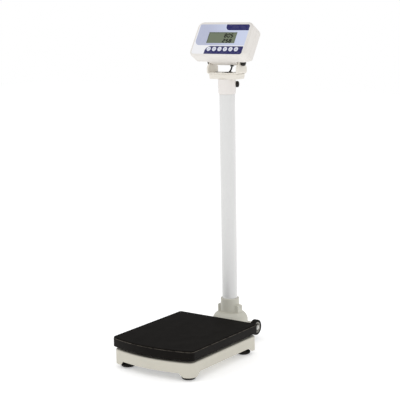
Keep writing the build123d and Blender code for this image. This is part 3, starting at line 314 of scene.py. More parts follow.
class Effects:
    """Shader effects that several finishes share, each built once as a node group."""

    def start(
        self, name: str, inputs: dict[str, object], outputs: dict[str, str]
    ) -> tuple[Wiring, bpy.types.Node, bpy.types.Node]:
        """Make an empty group with named sockets.

        Args:
            name: Name of the group.
            inputs: Each input's name and constant: a number, a colour or a vector.
            outputs: Each output's name and kind: Float, Color or Vector.

        Returns:
            The wiring, the input node and the output node.
        """
        tree = bpy.data.node_groups.new(name, "ShaderNodeTree")
        for label, value in inputs.items():
            kind = "Float"
            if not isinstance(value, float):
                kind = "Color" if len(value) == 4 else "Vector"
            socket = tree.interface.new_socket(
                name=label, in_out="INPUT", socket_type=f"NodeSocket{kind}"
            )
            socket.default_value = value
        for label, kind in outputs.items():
            tree.interface.new_socket(
                name=label, in_out="OUTPUT", socket_type=f"NodeSocket{kind}"
            )
        wiring = Wiring(tree)
        return wiring, wiring.add("NodeGroupInput"), wiring.add("NodeGroupOutput")

    @cached_property
    def moulded_grain(self) -> bpy.types.NodeTree:
        """Fine grain, slow mottling and uneven gloss of a moulded or coated surface.

        Returns:
            The node group.
        """
        inputs = {
            "Colour": (0.5, 0.5, 0.5, 1.0), "Shadow Colour": (0.4, 0.4, 0.4, 1.0),
            "Grain Scale": 2500.0, "Mottle Scale": 18.0, "Mottle": 0.4,
            "Roughness": 0.5, "Gloss Spread": 0.12,
        }
        outputs = {"Colour": "Color", "Roughness": "Float", "Height": "Float"}
        w, entry, leave = self.start("moulded_grain", inputs, outputs)
        fine = w.noise(entry.outputs["Grain Scale"], detail=3.0, roughness=0.55)
        slow = w.noise(entry.outputs["Mottle Scale"], detail=4.0, roughness=0.6)
        patches = w.ramp(slow, 0.35, 0.7)
        speck = w.maths("MULTIPLY", w.ramp(fine, 0.6, 0.8), SPECK_STRENGTH)
        mask = w.maths("MULTIPLY", patches, entry.outputs["Mottle"])
        mask = w.maths("MAXIMUM", mask, speck)
        colour = w.blend(mask, entry.outputs["Colour"], entry.outputs["Shadow Colour"])
        swing = w.maths("SUBTRACT", slow, 0.5)
        swing = w.maths("MULTIPLY", swing, entry.outputs["Gloss Spread"])
        w.feed(leave.inputs["Colour"], colour)
        w.feed(leave.inputs["Roughness"], w.maths("ADD", entry.outputs["Roughness"], swing))
        w.feed(leave.inputs["Height"], fine)
        return w.tree

    @cached_property
    def edge_wear(self) -> bpy.types.NodeTree:
        """Mask of rubbed edges, broken up by noise.

        Returns:
            The node group.
        """
        inputs = {"Amount": 0.3, "Break Up Scale": 120.0}
        w, entry, leave = self.start("edge_wear", inputs, {"Mask": "Float"})
        rubbed = w.ramp(w.add("NewGeometry").outputs["Pointiness"], 0.515, 0.6)
        broken = w.ramp(w.noise(entry.outputs["Break Up Scale"], detail=4.0), 0.35, 0.65)
        mask = w.maths("MULTIPLY", w.maths("MULTIPLY", rubbed, broken), entry.outputs["Amount"])
        w.feed(leave.inputs["Mask"], mask)
        return w.tree

    @cached_property
    def settled_dust(self) -> bpy.types.NodeTree:
        """Mask of the thin dust that lies on faces that look up.

        Returns:
            The node group.
        """
        inputs = {"Amount": 0.1, "Patch Scale": 30.0}
        w, entry, leave = self.start("settled_dust", inputs, {"Mask": "Float"})
        normal = w.add("NewGeometry").outputs["Normal"]
        upward = w.add("SeparateXYZ", Vector=normal).outputs["Z"]
        level = w.ramp(upward, 0.3, 0.95)
        noise = w.noise(entry.outputs["Patch Scale"], detail=6.0, roughness=0.65)
        patches = w.ramp(noise, 0.3, 0.75)
        mask = w.maths("MULTIPLY", w.maths("MULTIPLY", level, patches), entry.outputs["Amount"])
        w.feed(leave.inputs["Mask"], mask)
        return w.tree

    @cached_property
    def fine_scuffs(self) -> bpy.types.NodeTree:
        """Mask of thin drawn lines: brushing, tool marks or shoe scuffs.

        Returns:
            The node group.
        """
        inputs = {"Stretch": (1.0, 1.0, 1.0), "Line Scale": 900.0, "Amount": 0.5}
        w, entry, leave = self.start("fine_scuffs", inputs, {"Mask": "Float"})
        drawn = w.vector("MULTIPLY", w.place(), entry.outputs["Stretch"]).outputs[0]
        lines = w.ramp(w.noise(entry.outputs["Line Scale"], detail=2.0, point=drawn), 0.4, 0.7)
        w.feed(leave.inputs["Mask"], w.maths("MULTIPLY", lines, entry.outputs["Amount"]))
        return w.tree

    @cached_property
    def printed_field(self) -> bpy.types.NodeTree:
        """Mask of a printed rectangle with round corners on a plane.

        Returns:
            The node group.
        """
        inputs = {
            "Point": (0.0, 0.0, 0.0), "Middle": (0.0, 0.0, 0.0), "Straight Half": (0.1, 0.1, 0.0),
            "Corner": 0.01,
        }
        w, entry, leave = self.start("printed_field", inputs, {"Mask": "Float"})
        away = w.vector("SUBTRACT", entry.outputs["Point"], entry.outputs["Middle"]).outputs[0]
        size = w.add("VectorMath", {"operation": "ABSOLUTE"})
        w.feed(size.inputs[0], away)
        past = w.vector("SUBTRACT", size.outputs[0], entry.outputs["Straight Half"]).outputs[0]
        kept = w.vector("MAXIMUM", past, (0.0, 0.0, 0.0)).outputs[0]
        beyond = w.maths("SUBTRACT", w.length(kept), entry.outputs["Corner"])
        inside = w.ramp(beyond, PRINT_SOFTNESS, -PRINT_SOFTNESS)
        w.feed(leave.inputs["Mask"], inside)
        return w.tree


EFFECTS = Effects()


# ---- finishes -----------------------------------------------------------------------------------
@dataclass(frozen=True)
class Finish:
    """A moulded, coated or rubber surface with grain, mottling, rubbed edges and dust."""

    name: str
    colour: tuple[float, float, float, float]
    roughness: float = 0.5
    metallic: float = 0.0
    grain_scale: float = 2500.0
    grain_depth: float = 0.00012
    mottle: float = 0.35
    mottle_scale: float = 18.0
    gloss_spread: float = 0.15
    shadow: float = 0.88
    edge: float = 0.25
    edge_tone: float = 1.35
    dust: float = 0.0
    coat: float = 0.0
    specular: float = 0.5

    def material(self) -> bpy.types.Material:
        """The finish as a Blender material, made once.

        Returns:
            The material.
        """
        title = f"look_{self.name}"
        found = bpy.data.materials.get(title)
        if found is not None:
            return found
        made = bpy.data.materials.new(title)
        made.use_nodes = True
        wiring = Wiring(made.node_tree)
        shader = made.node_tree.nodes["Principled BSDF"]
        shader.inputs["Metallic"].default_value = self.metallic
        shader.inputs["Coat Weight"].default_value = self.coat
        shader.inputs["Specular IOR Level"].default_value = self.specular
        self.wire(wiring, shader)
        return made

    def base_colour(self, wiring: Wiring) -> object:
        """Colour before grain and wear: plain here, printed in some finishes.

        Args:
            wiring: The material's wiring.

        Returns:
            A constant or an output.
        """
        return self.colour

    def wire(self, wiring: Wiring, shader: bpy.types.Node) -> None:
        """Wire the surface effects into the shader.

        Args:
            wiring: The material's wiring.
            shader: The Principled shader.
        """
        base = self.base_colour(wiring)
        if isinstance(base, bpy.types.NodeSocket):
            low = wiring.blend(1.0 - self.shadow, base, BLACK)
        else:
            low = shade(base, self.shadow)
        grain = wiring.group(
            EFFECTS.moulded_grain, Colour=base, Shadow_Colour=low,
            Grain_Scale=self.grain_scale, Mottle_Scale=self.mottle_scale, Mottle=self.mottle,
            Roughness=self.roughness, Gloss_Spread=self.gloss_spread,
        )
        rubbed = wiring.group(EFFECTS.edge_wear, Amount=self.edge)
        colour = wiring.blend(
            rubbed.outputs["Mask"], grain.outputs["Colour"], shade(self.colour, self.edge_tone)
        )
        if self.dust > 0:
            settled = wiring.group(EFFECTS.settled_dust, Amount=self.dust)
            colour = wiring.blend(settled.outputs["Mask"], colour, DUST_COLOUR)
        height = self.relief(wiring, grain.outputs["Height"])
        bump = wiring.add(
            "Bump", Height=height, Distance=self.grain_depth, Strength=BUMP_STRENGTH
        )
        wiring.feed(shader.inputs["Base Color"], colour)
        wiring.feed(shader.inputs["Roughness"], grain.outputs["Roughness"])
        wiring.feed(shader.inputs["Normal"], bump.outputs["Normal"])

    def relief(self, wiring: Wiring, grain: bpy.types.NodeSocket) -> bpy.types.NodeSocket:
        """Height of the surface: the grain alone here.

        Args:
            wiring: The material's wiring.
            grain: Height of the fine grain.

        Returns:
            The height's output.
        """
        return grain


@dataclass(frozen=True)
class DrawnMetal(Finish):
    """Metal with fine lines along one direction."""

    lay: Lay = Lay.ALONG_Z
    metallic: float = 1.0
    mottle_scale: float = 60.0
    line_stretch: float = 0.03
    line_scale: float = 1800.0
    line_depth: float = 1.2

    def relief(self, wiring: Wiring, grain: bpy.types.NodeSocket) -> bpy.types.NodeSocket:
        """Height of the surface: grain with drawn lines.

        Args:
            wiring: The material's wiring.
            grain: Height of the fine grain.

        Returns:
            The height's output.
        """
        stretch = [1.0, 1.0, 1.0]
        stretch[self.lay.value] = self.line_stretch
        lines = wiring.group(
            EFFECTS.fine_scuffs, Stretch=tuple(stretch), Line_Scale=self.line_scale,
            Amount=self.line_depth,
        )
        rest = wiring.maths("MULTIPLY", grain, GRAIN_IN_LINES)
        return wiring.maths("ADD", lines.outputs["Mask"], rest)


@dataclass(frozen=True)
class MatRubber(Finish):
    """Rubber mat: pebbled, with faint scuffs from shoes."""

    pebble_scale: float = 700.0
    scuff_scale: float = 160.0
    scuff_stretch: tuple[float, float, float] = (1.0, 0.05, 1.0)
    scuff_depth: float = 0.5

    def relief(self, wiring: Wiring, grain: bpy.types.NodeSocket) -> bpy.types.NodeSocket:
        """Height of the surface: pebbles, grain and scuffs.

        Args:
            wiring: The material's wiring.
            grain: Height of the fine grain.

        Returns:
            The height's output.
        """
        pebbles = wiring.add("TexVoronoi", Vector=wiring.place(), Scale=self.pebble_scale)
        domes = wiring.maths("SUBTRACT", 1.0, pebbles.outputs["Distance"])
        scuffs = wiring.group(
            EFFECTS.fine_scuffs, Stretch=self.scuff_stretch, Line_Scale=self.scuff_scale,
            Amount=self.scuff_depth,
        )
        worn = wiring.maths("SUBTRACT", domes, wiring.maths("MULTIPLY", grain, GRAIN_IN_LINES))
        return wiring.maths("SUBTRACT", worn, scuffs.outputs["Mask"])


@dataclass(frozen=True)
class HeadPlane:
    """The display face's own frame: x across, up along the face and out of the face."""

    origin: Vector
    out: Vector

    @property
    def up(self) -> Vector:
        """Direction up the face."""
        return self.out.cross(Vector((1.0, 0.0, 0.0)))

    @property
    def matrix(self) -> Matrix:
        """Transform from the face's frame to the scale's."""
        across = Vector((1.0, 0.0, 0.0))
        turned = Matrix((across, self.up, self.out)).transposed().to_4x4()
        return Matrix.Translation(self.origin) @ turned

    def local(self, point: Vector) -> Vector:
        """A point of the scale in the face's frame."""
        return self.matrix.inverted() @ point

    def wired(self, wiring: Wiring) -> tuple[bpy.types.NodeSocket, bpy.types.NodeSocket]:
        """The surface point's place across and up the face.

        Args:
            wiring: The material's wiring.

        Returns:
            Outputs with the distance across and the distance up.
        """
        away = wiring.vector("SUBTRACT", wiring.place(), tuple(self.origin)).outputs[0]
        across = wiring.add("SeparateXYZ", Vector=away).outputs["X"]
        return across, wiring.vector("DOT_PRODUCT", away, tuple(self.up)).outputs["Value"]


FACE = HeadPlane(
    origin=Vector(JOINTS["head_tilt"]["pos_m"]),
    out=-Vector(JOINTS["key_1_press"]["axis"]).normalized(),
)


OFF_FACE = 0.3              # an edge this far out lies beyond the face


@dataclass(frozen=True)
class FaceFilm(Finish):
    """Printed film on the face: pale blue field with a painted sheen, navy tab and key strip,
    white margin.
    """

    field_edges: tuple[float, ...] = (-0.0915, OFF_FACE, 0.0225, OFF_FACE)
    field_corner: float = 0.018
    strip_gap_edges: tuple[float, ...] = (-0.0480, OFF_FACE, -OFF_FACE, 0.0216)
    strip_gap_corner: float = 0.0205
    strip_edges: tuple[float, ...] = (-0.0462, OFF_FACE, -OFF_FACE, 0.0198)
    strip_corner: float = 0.0190
    tab_gap_edges: tuple[float, ...] = (0.0055, OFF_FACE, 0.0738, OFF_FACE)
    tab_gap_corner: float = 0.0165
    tab_edges: tuple[float, ...] = (0.0077, OFF_FACE, 0.0758, OFF_FACE)
    tab_corner: float = 0.0150
    print_end: float = 0.0937
    # painted sheen: the blue field turns lighter along this slant
    sheen_slant: float = 0.6
    sheen_from: float = -0.03
    sheen_to: float = 0.11
    gap_tone: float = 1.04
    navy: tuple[float, float, float, float] = linear(33, 33, 96)
    field_colour: tuple[float, float, float, float] = linear(186, 191, 214)
    # light end of the painted sheen, also the base of the tab gap's printed colour
    field_light: tuple[float, float, float, float] = linear(206, 214, 238)

    def field_mask(
        self, wiring: Wiring, point: object, edges: tuple[float, ...], corner: float
    ) -> bpy.types.NodeSocket:
        """Mask of one printed area.

        Args:
            wiring: The material's wiring.
            point: Output with the surface point in the face's frame.
            edges: Left, right, lower and upper edge.
            corner: Corner radius.

        Returns:
            The mask's output.
        """
        left, right, low, high = edges
        middle = ((left + right) / 2, (low + high) / 2, 0.0)
        half = ((right - left) / 2 - corner, (high - low) / 2 - corner, 1.0)
        node = wiring.group(
            EFFECTS.printed_field, Point=point, Middle=middle, Straight_Half=half,
            Corner=corner,
        )
        return node.outputs["Mask"]

    def base_colour(self, wiring: Wiring) -> object:
        """The printed artwork's colour, with a painted sheen that lightens the blue field towards
        its upper right.

        Args:
            wiring: The material's wiring.

        Returns:
            The colour's output.
        """
        across, upward = FACE.wired(wiring)
        point = wiring.add("CombineXYZ", X=across, Y=upward).outputs[0]
        field_area = self.field_mask(wiring, point, self.field_edges, self.field_corner)
        strip_gap = self.field_mask(
            wiring, point, self.strip_gap_edges, self.strip_gap_corner
        )
        strip = self.field_mask(wiring, point, self.strip_edges, self.strip_corner)
        tab_gap = self.field_mask(wiring, point, self.tab_gap_edges, self.tab_gap_corner)
        tab = self.field_mask(wiring, point, self.tab_edges, self.tab_corner)
        before_end = wiring.maths("LESS_THAN", across, self.print_end)
        strip = wiring.maths("MULTIPLY", strip, before_end)
        tab = wiring.maths("MULTIPLY", tab, before_end)
        # painted sheen: the blue field lightens towards its upper right
        slope = wiring.maths("ADD", across, wiring.maths("MULTIPLY", upward, self.sheen_slant))
        sheen = wiring.ramp(slope, self.sheen_from, self.sheen_to)
        pale = wiring.blend(sheen, self.field_colour, self.field_light)
        colour = wiring.blend(field_area, self.colour, pale)
        colour = wiring.blend(strip_gap, colour, self.colour)
        colour = wiring.blend(tab_gap, colour, shade(self.field_light, self.gap_tone))
        colour = wiring.blend(strip, colour, self.navy)
        return wiring.blend(tab, colour, self.navy)


@dataclass(frozen=True)
class DisplayGlass(Finish):
    """Liquid crystal glass: grey green, darker towards its sides and top."""

    middle: float = 0.003
    sides: tuple[float, float] = (0.047, 0.053)
    upper: tuple[float, float] = (0.0620, 0.0695)
    strength: float = 0.5
    dark: tuple[float, float, float, float] = linear(86, 96, 80)

    def base_colour(self, wiring: Wiring) -> object:
        """Colour of the cell, a little darker towards its edge.

        Args:
            wiring: The material's wiring.

        Returns:
            The colour's output.
        """
        across, upward = FACE.wired(wiring)
        rim = wiring.maths("ABSOLUTE", wiring.maths("SUBTRACT", across, self.middle))
        rim = wiring.ramp(rim, *self.sides)
        top = wiring.ramp(upward, *self.upper)
        mask = wiring.maths("MULTIPLY", wiring.maths("MAXIMUM", rim, top), self.strength)
        return wiring.blend(mask, self.colour, self.dark)


@dataclass(frozen=True)
class HubPlastic(Finish):
    """Hub plastic: pale rim round a web painted dark as the shade deep in the dish."""

    axle: tuple[float, float, float] = tuple(JOINTS["wheel_left_spin"]["pos_m"])
    web_radius: float = 0.0147
    web_fade: tuple[float, float] = (-0.0004, 0.0001)
    # painted shade: colour of the web deep in the dish
    web_colour: tuple[float, float, float, float] = linear(58, 56, 52)

    def base_colour(self, wiring: Wiring) -> object:
        """Colour by distance from the axle; the web inside the rim is painted dark as shade.

        Args:
            wiring: The material's wiring.

        Returns:
            The colour's output.
        """
        away = wiring.vector("SUBTRACT", wiring.place(), self.axle).outputs[0]
        flat = wiring.vector("MULTIPLY", away, (0.0, 1.0, 1.0)).outputs[0]
        inner, outer = (self.web_radius + fade for fade in self.web_fade)
        outside = wiring.ramp(wiring.length(flat), inner, outer)
        # painted shade darkens the web inside the rim
        return wiring.blend(outside, self.web_colour, self.colour)


@dataclass(frozen=True)
class RimmedCover(Finish):
    """Black cover plastic with a thin painted highlight line along its upper rim."""

    # painted highlight along the top rim, broken up by noise
    rim_colour: tuple[float, float, float, float] = linear(104, 98, 90)
    rim_depth: float = 0.0011
    rim_strength: float = 0.8
    rim_fade: float = 0.0003
    break_scale: float = 90.0
    break_range: tuple[float, float] = (0.25, 0.6)

    def base_colour(self, wiring: Wiring) -> object:
        """Colour by height below the cover's top, with a painted highlight line along the rim.

        Args:
            wiring: The material's wiring.

        Returns:
            The colour's output.
        """
        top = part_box("platform_cover")[1].z
        height = wiring.add("SeparateXYZ", Vector=wiring.place()).outputs["Z"]
        start = top - self.rim_depth
        # painted highlight: a lighter line just below the cover's top
        near_top = wiring.ramp(height, start - self.rim_fade, start)
        broken = wiring.ramp(wiring.noise(self.break_scale, detail=4.0), *self.break_range)
        mask = wiring.maths("MULTIPLY", near_top, broken)
        mask = wiring.maths("MULTIPLY", mask, self.rim_strength)
        return wiring.blend(mask, self.colour, self.rim_colour)


# black cover whose upper rim carries a painted highlight line
COVER_BLACK = RimmedCover(
    "cover_black", linear(15, 12, 9), roughness=0.50, grain_scale=1500.0, grain_depth=0.00008,
    mottle=0.5, shadow=0.72, edge=0.0, dust=0.006, specular=0.08,
)
MAT_BLACK = MatRubber(
    "mat_black", linear(13, 10, 7), roughness=0.75, grain_scale=2600.0, grain_depth=0.00010,
    mottle=0.5, shadow=0.75, edge=0.1, edge_tone=3.0, dust=0.006, specular=0.06,
)
BASE_CREAM = Finish(
    "base_cream", linear(203, 199, 186), roughness=0.46, grain_scale=2200.0,
    grain_depth=0.00010, mottle=0.35, shadow=0.93, edge=0.2, edge_tone=1.1, dust=0.06,
)
SOCKET_CREAM = Finish(
    "socket_cream", linear(203, 201, 189), roughness=0.42, grain_scale=1700.0,
    grain_depth=0.00012, mottle=0.4, shadow=0.92, edge=0.25, edge_tone=1.1, dust=0.05,
)
TUBE_WHITE = Finish(
    "tube_white", linear(222, 222, 221), roughness=0.30, grain_scale=900.0,
    grain_depth=0.00005, mottle=0.25, shadow=0.96, edge=0.2, edge_tone=1.05, coat=0.8,
)
HEAD_CREAM = Finish(
    "head_cream", linear(230, 226, 221), roughness=0.45, grain_scale=2600.0,
    grain_depth=0.00009, mottle=0.3, shadow=0.94, edge=0.2, edge_tone=1.08, dust=0.04,
)
FERRULE_WHITE = Finish(
    "ferrule_white", linear(232, 227, 223), roughness=0.30, grain_scale=1100.0,
    grain_depth=0.00006, mottle=0.3, shadow=0.94, edge=0.2, edge_tone=1.05, coat=0.5,
)
BRACKET_CREAM = Finish(
    "bracket_cream", linear(229, 224, 214), roughness=0.4, grain_scale=1100.0,
    grain_depth=0.00007, mottle=0.35, shadow=0.93, edge=0.3, edge_tone=1.1,
)
KNOB_BLACK = Finish(
    "knob_black", linear(22, 19, 17), roughness=0.34, specular=0.25, grain_scale=2600.0,
    grain_depth=0.00006, mottle=0.5, shadow=0.7, edge=0.05, edge_tone=3.0,
)
FOOT_RUBBER = Finish(
    "foot_rubber", linear(26, 24, 21), roughness=0.66, specular=0.2, grain_scale=1600.0,
    grain_depth=0.00014, mottle=0.6, shadow=0.7, edge=0.1, edge_tone=2.0, dust=0.05,
)
TYRE_RUBBER = Finish(
    "tyre_rubber", linear(17, 15, 12), roughness=0.60, specular=0.10, grain_scale=1500.0,
    grain_depth=0.00012, mottle=0.6, shadow=0.7, edge=0.1, edge_tone=2.0, dust=0.05,
)
# pale hub whose web is painted dark as shade
HUB_GREY = HubPlastic(
    "hub_grey", linear(176, 174, 166), roughness=0.4, grain_scale=2200.0, grain_depth=0.00008,
    mottle=0.4, shadow=0.85, edge=0.3, edge_tone=1.2, dust=0.05,
)
CORD_BLACK = Finish(
    "cord_black", linear(34, 32, 32), roughness=0.5, grain_scale=3000.0, grain_depth=0.00005,
    mottle=0.5, shadow=0.75, edge=0.1, edge_tone=2.0,
)
FITTING_BLACK = Finish(
    "fitting_black", linear(28, 27, 27), roughness=0.42, grain_scale=2800.0,
    grain_depth=0.00006, mottle=0.4, shadow=0.75, edge=0.35, edge_tone=3.0,
)
KEY_PALE = Finish(
    "key_pale", linear(226, 229, 242), roughness=0.35, grain_scale=3200.0, grain_depth=0.00005,
    mottle=0.3, shadow=0.92, edge=0.2, edge_tone=1.05,
)
KEY_PRINT = Finish(
    "key_print", linear(96, 100, 122), roughness=0.45, grain_scale=3000.0,
    grain_depth=0.00003, mottle=0.4, shadow=0.85, edge=0.0,
)
SEGMENT_INK = Finish(
    "segment_ink", linear(18, 20, 16), roughness=0.35, specular=0.1, grain_scale=3000.0,
    grain_depth=0.00002, mottle=0.4, shadow=0.8, edge=0.0,
)
FILM = FaceFilm(
    "face_film", linear(244, 244, 247), roughness=0.34, grain_scale=2400.0,
    grain_depth=0.00005, mottle=0.2, shadow=0.95, edge=0.05, edge_tone=1.0, specular=0.15,
)
GLASS = DisplayGlass(
    "display_glass", linear(112, 122, 100), roughness=0.18, specular=0.3, grain_scale=1200.0,
    grain_depth=0.00001, mottle=0.4, shadow=0.93, edge=0.0, coat=0.2,
)
ZINC = DrawnMetal(
    "zinc_plate", linear(196, 196, 192), roughness=0.34, grain_depth=0.00004, mottle=0.6,
    shadow=0.75, edge=0.3, edge_tone=1.15, lay=Lay.ALONG_Z,
)
CELL_ALUMINIUM = DrawnMetal(
    "cell_aluminium", linear(205, 206, 208), roughness=0.38, grain_depth=0.00005, mottle=0.4,
    shadow=0.82, edge=0.3, edge_tone=1.1, lay=Lay.ALONG_Y,
)
BRASS = DrawnMetal(
    "turned_brass", linear(198, 165, 96), roughness=0.3, grain_depth=0.00004, mottle=0.5,
    shadow=0.75, edge=0.3, edge_tone=1.2, lay=Lay.ALONG_X,
)
CHASSIS_STEEL = Finish(
    "chassis_steel", linear(112, 114, 117), roughness=0.5, metallic=0.3, grain_scale=800.0,
    grain_depth=0.00012, mottle=0.6, shadow=0.75, edge=0.5, edge_tone=1.5, dust=0.1,
)
FRAME_STEEL = Finish(
    "frame_steel", linear(52, 52, 53), roughness=0.5, metallic=0.2, grain_scale=900.0,
    grain_depth=0.00012, mottle=0.6, shadow=0.7, edge=0.5, edge_tone=2.2, dust=0.06,
)
BUSH_NYLON = Finish(
    "bush_nylon", linear(222, 220, 210), roughness=0.4, grain_depth=0.00005, mottle=0.4,
    shadow=0.9, edge=0.1, edge_tone=1.05,
)
FIBRE = Finish(
    "friction_fibre", linear(122, 84, 60), roughness=0.8, grain_scale=1500.0,
    grain_depth=0.0001, mottle=0.8, shadow=0.6, edge=0.3, edge_tone=1.3,
)
BOARD_GREEN = Finish(
    "board_green", linear(40, 104, 62), roughness=0.3, grain_scale=600.0, grain_depth=0.00003,
    mottle=0.9, mottle_scale=240.0, shadow=0.6, edge=0.2, edge_tone=1.5, coat=0.3,
)
CELL_WRAP = Finish(
    "cell_wrap", linear(70, 120, 88), roughness=0.3, grain_scale=1500.0, grain_depth=0.00003,
    mottle=0.4, shadow=0.8, edge=0.2, edge_tone=1.3, coat=0.3,
)


@dataclass(frozen=True)
class StudioPaper(Finish):
    """White floor paper that glows a little, so that it stays even."""

    glow: float = 0.36

    def wire(self, wiring: Wiring, shader: bpy.types.Node) -> None:
        """Wire the surface effects and set the glow.

        Args:
            wiring: The material's wiring.
            shader: The Principled shader.
        """
        super().wire(wiring, shader)
        shader.inputs["Emission Color"].default_value = WHITE
        shader.inputs["Emission Strength"].default_value = self.glow


# ---- mesh making --------------------------------------------------------------------------------
@dataclass
class MeshCraft:
    """Mesh work shared by the sub-assemblies."""

    flat_degrees: float = 0.6
    edge_degrees: float = 24.0
    smooth_degrees: float = 32.0
    weld: float = 2e-6
    made: list[str] = field(default_factory=list)

    def carry(self, node: str, finish: Finish) -> bpy.types.Object:
        """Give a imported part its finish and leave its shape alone.

        Args:
            node: Name of the part.
            finish: Its finish.

        Returns:
            The part's object.
        """
        part = frame["nodes"][node]
        part.data.materials.clear()
        part.data.materials.append(finish.material())
        self.report(node, finish)
        return part

    def report(self, name: str, finish: Finish) -> None:
        """Log a finished piece.

        Args:
            name: Name of the piece.
            finish: Its finish.
        """
        self.made.append(name)
        LOG.info("%s in %s", name, finish.name)

    def read(self, node: str) -> bmesh.types.BMesh:
        """A part's mesh, welded and with its flat faces joined.

        Args:
            node: Name of the part.

        Returns:
            A mesh to work on.
        """
        source = frame["nodes"][node].data
        mesh = bmesh.new()
        corners = [mesh.verts.new(vertex.co) for vertex in source.vertices]
        for polygon in source.polygons:
            mesh.faces.new([corners[index] for index in polygon.vertices])
        bmesh.ops.remove_doubles(mesh, verts=mesh.verts, dist=self.weld)
        bmesh.ops.dissolve_limit(
            mesh, angle_limit=math.radians(self.flat_degrees), verts=mesh.verts, edges=mesh.edges
        )
        return mesh

    def finish_mesh(
        self, mesh: bmesh.types.BMesh, name: str, finish: Finish, body: str
    ) -> bpy.types.Object:
        """Turn a mesh into a piece that rides on a body.

        Args:
            mesh: The mesh, which is freed.
            name: Name of the piece.
            finish: Its finish.
            body: The body it rides on.

        Returns:
            The new object.
        """
        bmesh.ops.recalc_face_normals(mesh, faces=mesh.faces)
        data = bpy.data.meshes.new(name)
        mesh.to_mesh(data)
        mesh.free()
        data.shade_smooth()
        data.set_sharp_from_angle(angle=math.radians(self.smooth_degrees))
        data.materials.append(finish.material())
        piece = bpy.data.objects.new(name, data)
        bpy.context.scene.collection.objects.link(piece)
        even = piece.modifiers.new("even_shading", "WEIGHTED_NORMAL")
        even.keep_sharp = True
        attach(piece, body)
        self.report(name, finish)
        return piece

    def soften(
        self, node: str, finish: Finish, width: float, segments: int = 2,
        spared: Callable[[Vector], bool] | None = None,
    ) -> bpy.types.Object:
        """Stand in for a part with the same shape and rounded outer edges.

        Args:
            node: Name of the part.
            finish: Its finish.
            width: Width of the rounded edge.
            segments: Facets across the rounded edge.
            spared: Tells whether an edge at a given place stays sharp.

        Returns:
            The new object.
        """
        mesh = self.read(node)
        limit = math.radians(self.edge_degrees)
        edges = [
            edge for edge in mesh.edges
            if edge.is_manifold and edge.is_convex and edge.calc_face_angle(0.0) > limit
        ]
        if spared is not None:
            edges = [
                edge for edge in edges
                if not spared((edge.verts[0].co + edge.verts[1].co) / 2)
            ]
        bmesh.ops.bevel(
            mesh, geom=edges, offset=width, offset_type="OFFSET", segments=segments,
            profile=0.5, affect="EDGES", clamp_overlap=False, miter_outer="ARC",
        )
        bmesh.ops.dissolve_degenerate(mesh, dist=self.weld, edges=mesh.edges)
        piece = self.finish_mesh(mesh, node + "_shaped", finish, BODY_OF[node])
        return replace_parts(piece, node)

    def plate(
        self, outline: list[tuple[float, float]], low: float, high: float
    ) -> bmesh.types.BMesh:
        """Thin plate on the display's face.

        Args:
            outline: Corners as (x, up) in the face's frame, anticlockwise.
            low: Distance of its back in front of the hinge.
            high: Distance of its front in front of the hinge.

        Returns:
            The mesh, in the scale's frame.
        """
        mesh = bmesh.new()
        floor = [mesh.verts.new((x, up, low)) for x, up in outline]
        roof = [mesh.verts.new((x, up, high)) for x, up in outline]
        mesh.faces.new(list(reversed(floor)))
        mesh.faces.new(roof)
        count = len(outline)
        for index in range(count):
            following = (index + 1) % count
            mesh.faces.new([floor[index], floor[following], roof[following], roof[index]])
        mesh.transform(FACE.matrix)
        return mesh

    def join(self, meshes: list[bmesh.types.BMesh]) -> bmesh.types.BMesh:
        """Put several meshes into one.

        Args:
            meshes: The meshes, which are freed after the first.

        Returns:
            The joined mesh.
        """
        whole = bmesh.new()
        for mesh in meshes:
            data = bpy.data.meshes.new("joining")
            mesh.to_mesh(data)
            mesh.free()
            whole.from_mesh(data)
            bpy.data.meshes.remove(data)
        return whole

    def lathe(
        self, outline: list[tuple[float, float]], axis_point: Vector, axis: Vector, steps: int
    ) -> bmesh.types.BMesh:
        """Turn an outline about an axis.

        Args:
            outline: (distance along the axis, radius) pairs; a zero radius closes an end.
            axis_point: Where the axis starts.
            axis: Direction of the axis.
            steps: Facets round the axis.

        Returns:
            The turned mesh.
        """
        mesh = bmesh.new()
        direction = axis.normalized()
        sideways = direction.orthogonal().normalized()
        points = [
            mesh.verts.new(axis_point + direction * along + sideways * radius)
            for along, radius in outline
        ]
        edges = [mesh.edges.new(pair) for pair in zip(points, points[1:])]
        if outline[0][1] > 0:
            edges.append(mesh.edges.new((points[-1], points[0])))
        bmesh.ops.spin(
            mesh, geom=points + edges, cent=axis_point, axis=direction, steps=steps,
            angle=math.tau, use_merge=True,
        )
        bmesh.ops.remove_doubles(mesh, verts=mesh.verts, dist=self.weld)
        return mesh


CRAFT = MeshCraft()


# ---- sub-assemblies -----------------------------------------------------------------------------
@dataclass
class Platform:
    """Black cover, its rubber mat, and the weighing frame under them."""

    cover_edge: float = 0.0012
    frame_edge: float = 0.0006

    def build(self) -> None:
        """Shape the cover, the mat and the frame."""
        CRAFT.soften("platform_cover", COVER_BLACK, self.cover_edge, segments=3)
        CRAFT.carry("platform_mat", MAT_BLACK)
        CRAFT.soften("upper_frame", FRAME_STEEL, self.frame_edge)

    def dress(self) -> None:
        """Finish the pads under the cover."""
        CRAFT.carry("frame_buffers", FOOT_RUBBER)


@dataclass
class BaseTray:
    """Cream tray, welded chassis and their screws."""

    tray_edge: float = 0.0010

    def build(self) -> None:
        """Shape the tray and the chassis."""
        CRAFT.soften("base_housing", BASE_CREAM, self.tray_edge)
        CRAFT.carry("lower_frame", CHASSIS_STEEL)

    def dress(self) -> None:
        """Finish the small steel parts."""
        for node in ("overload_stops", "housing_screws", "foot_lock_nuts"):
            CRAFT.carry(node, ZINC)


@dataclass
class WeighingCell:
    """Load cell with its spacers, bolts and lead."""

    edge: float = 0.0005

    def build(self) -> None:
        """Shape the cell and its spacers."""
        CRAFT.soften("load_cell", CELL_ALUMINIUM, self.edge)
        CRAFT.soften("load_cell_spacers", ZINC, self.edge)

    def dress(self) -> None:
        """Finish the bolts and the lead."""
        CRAFT.carry("load_cell_bolts", ZINC)
        CRAFT.carry("load_cell_cable", CORD_BLACK)


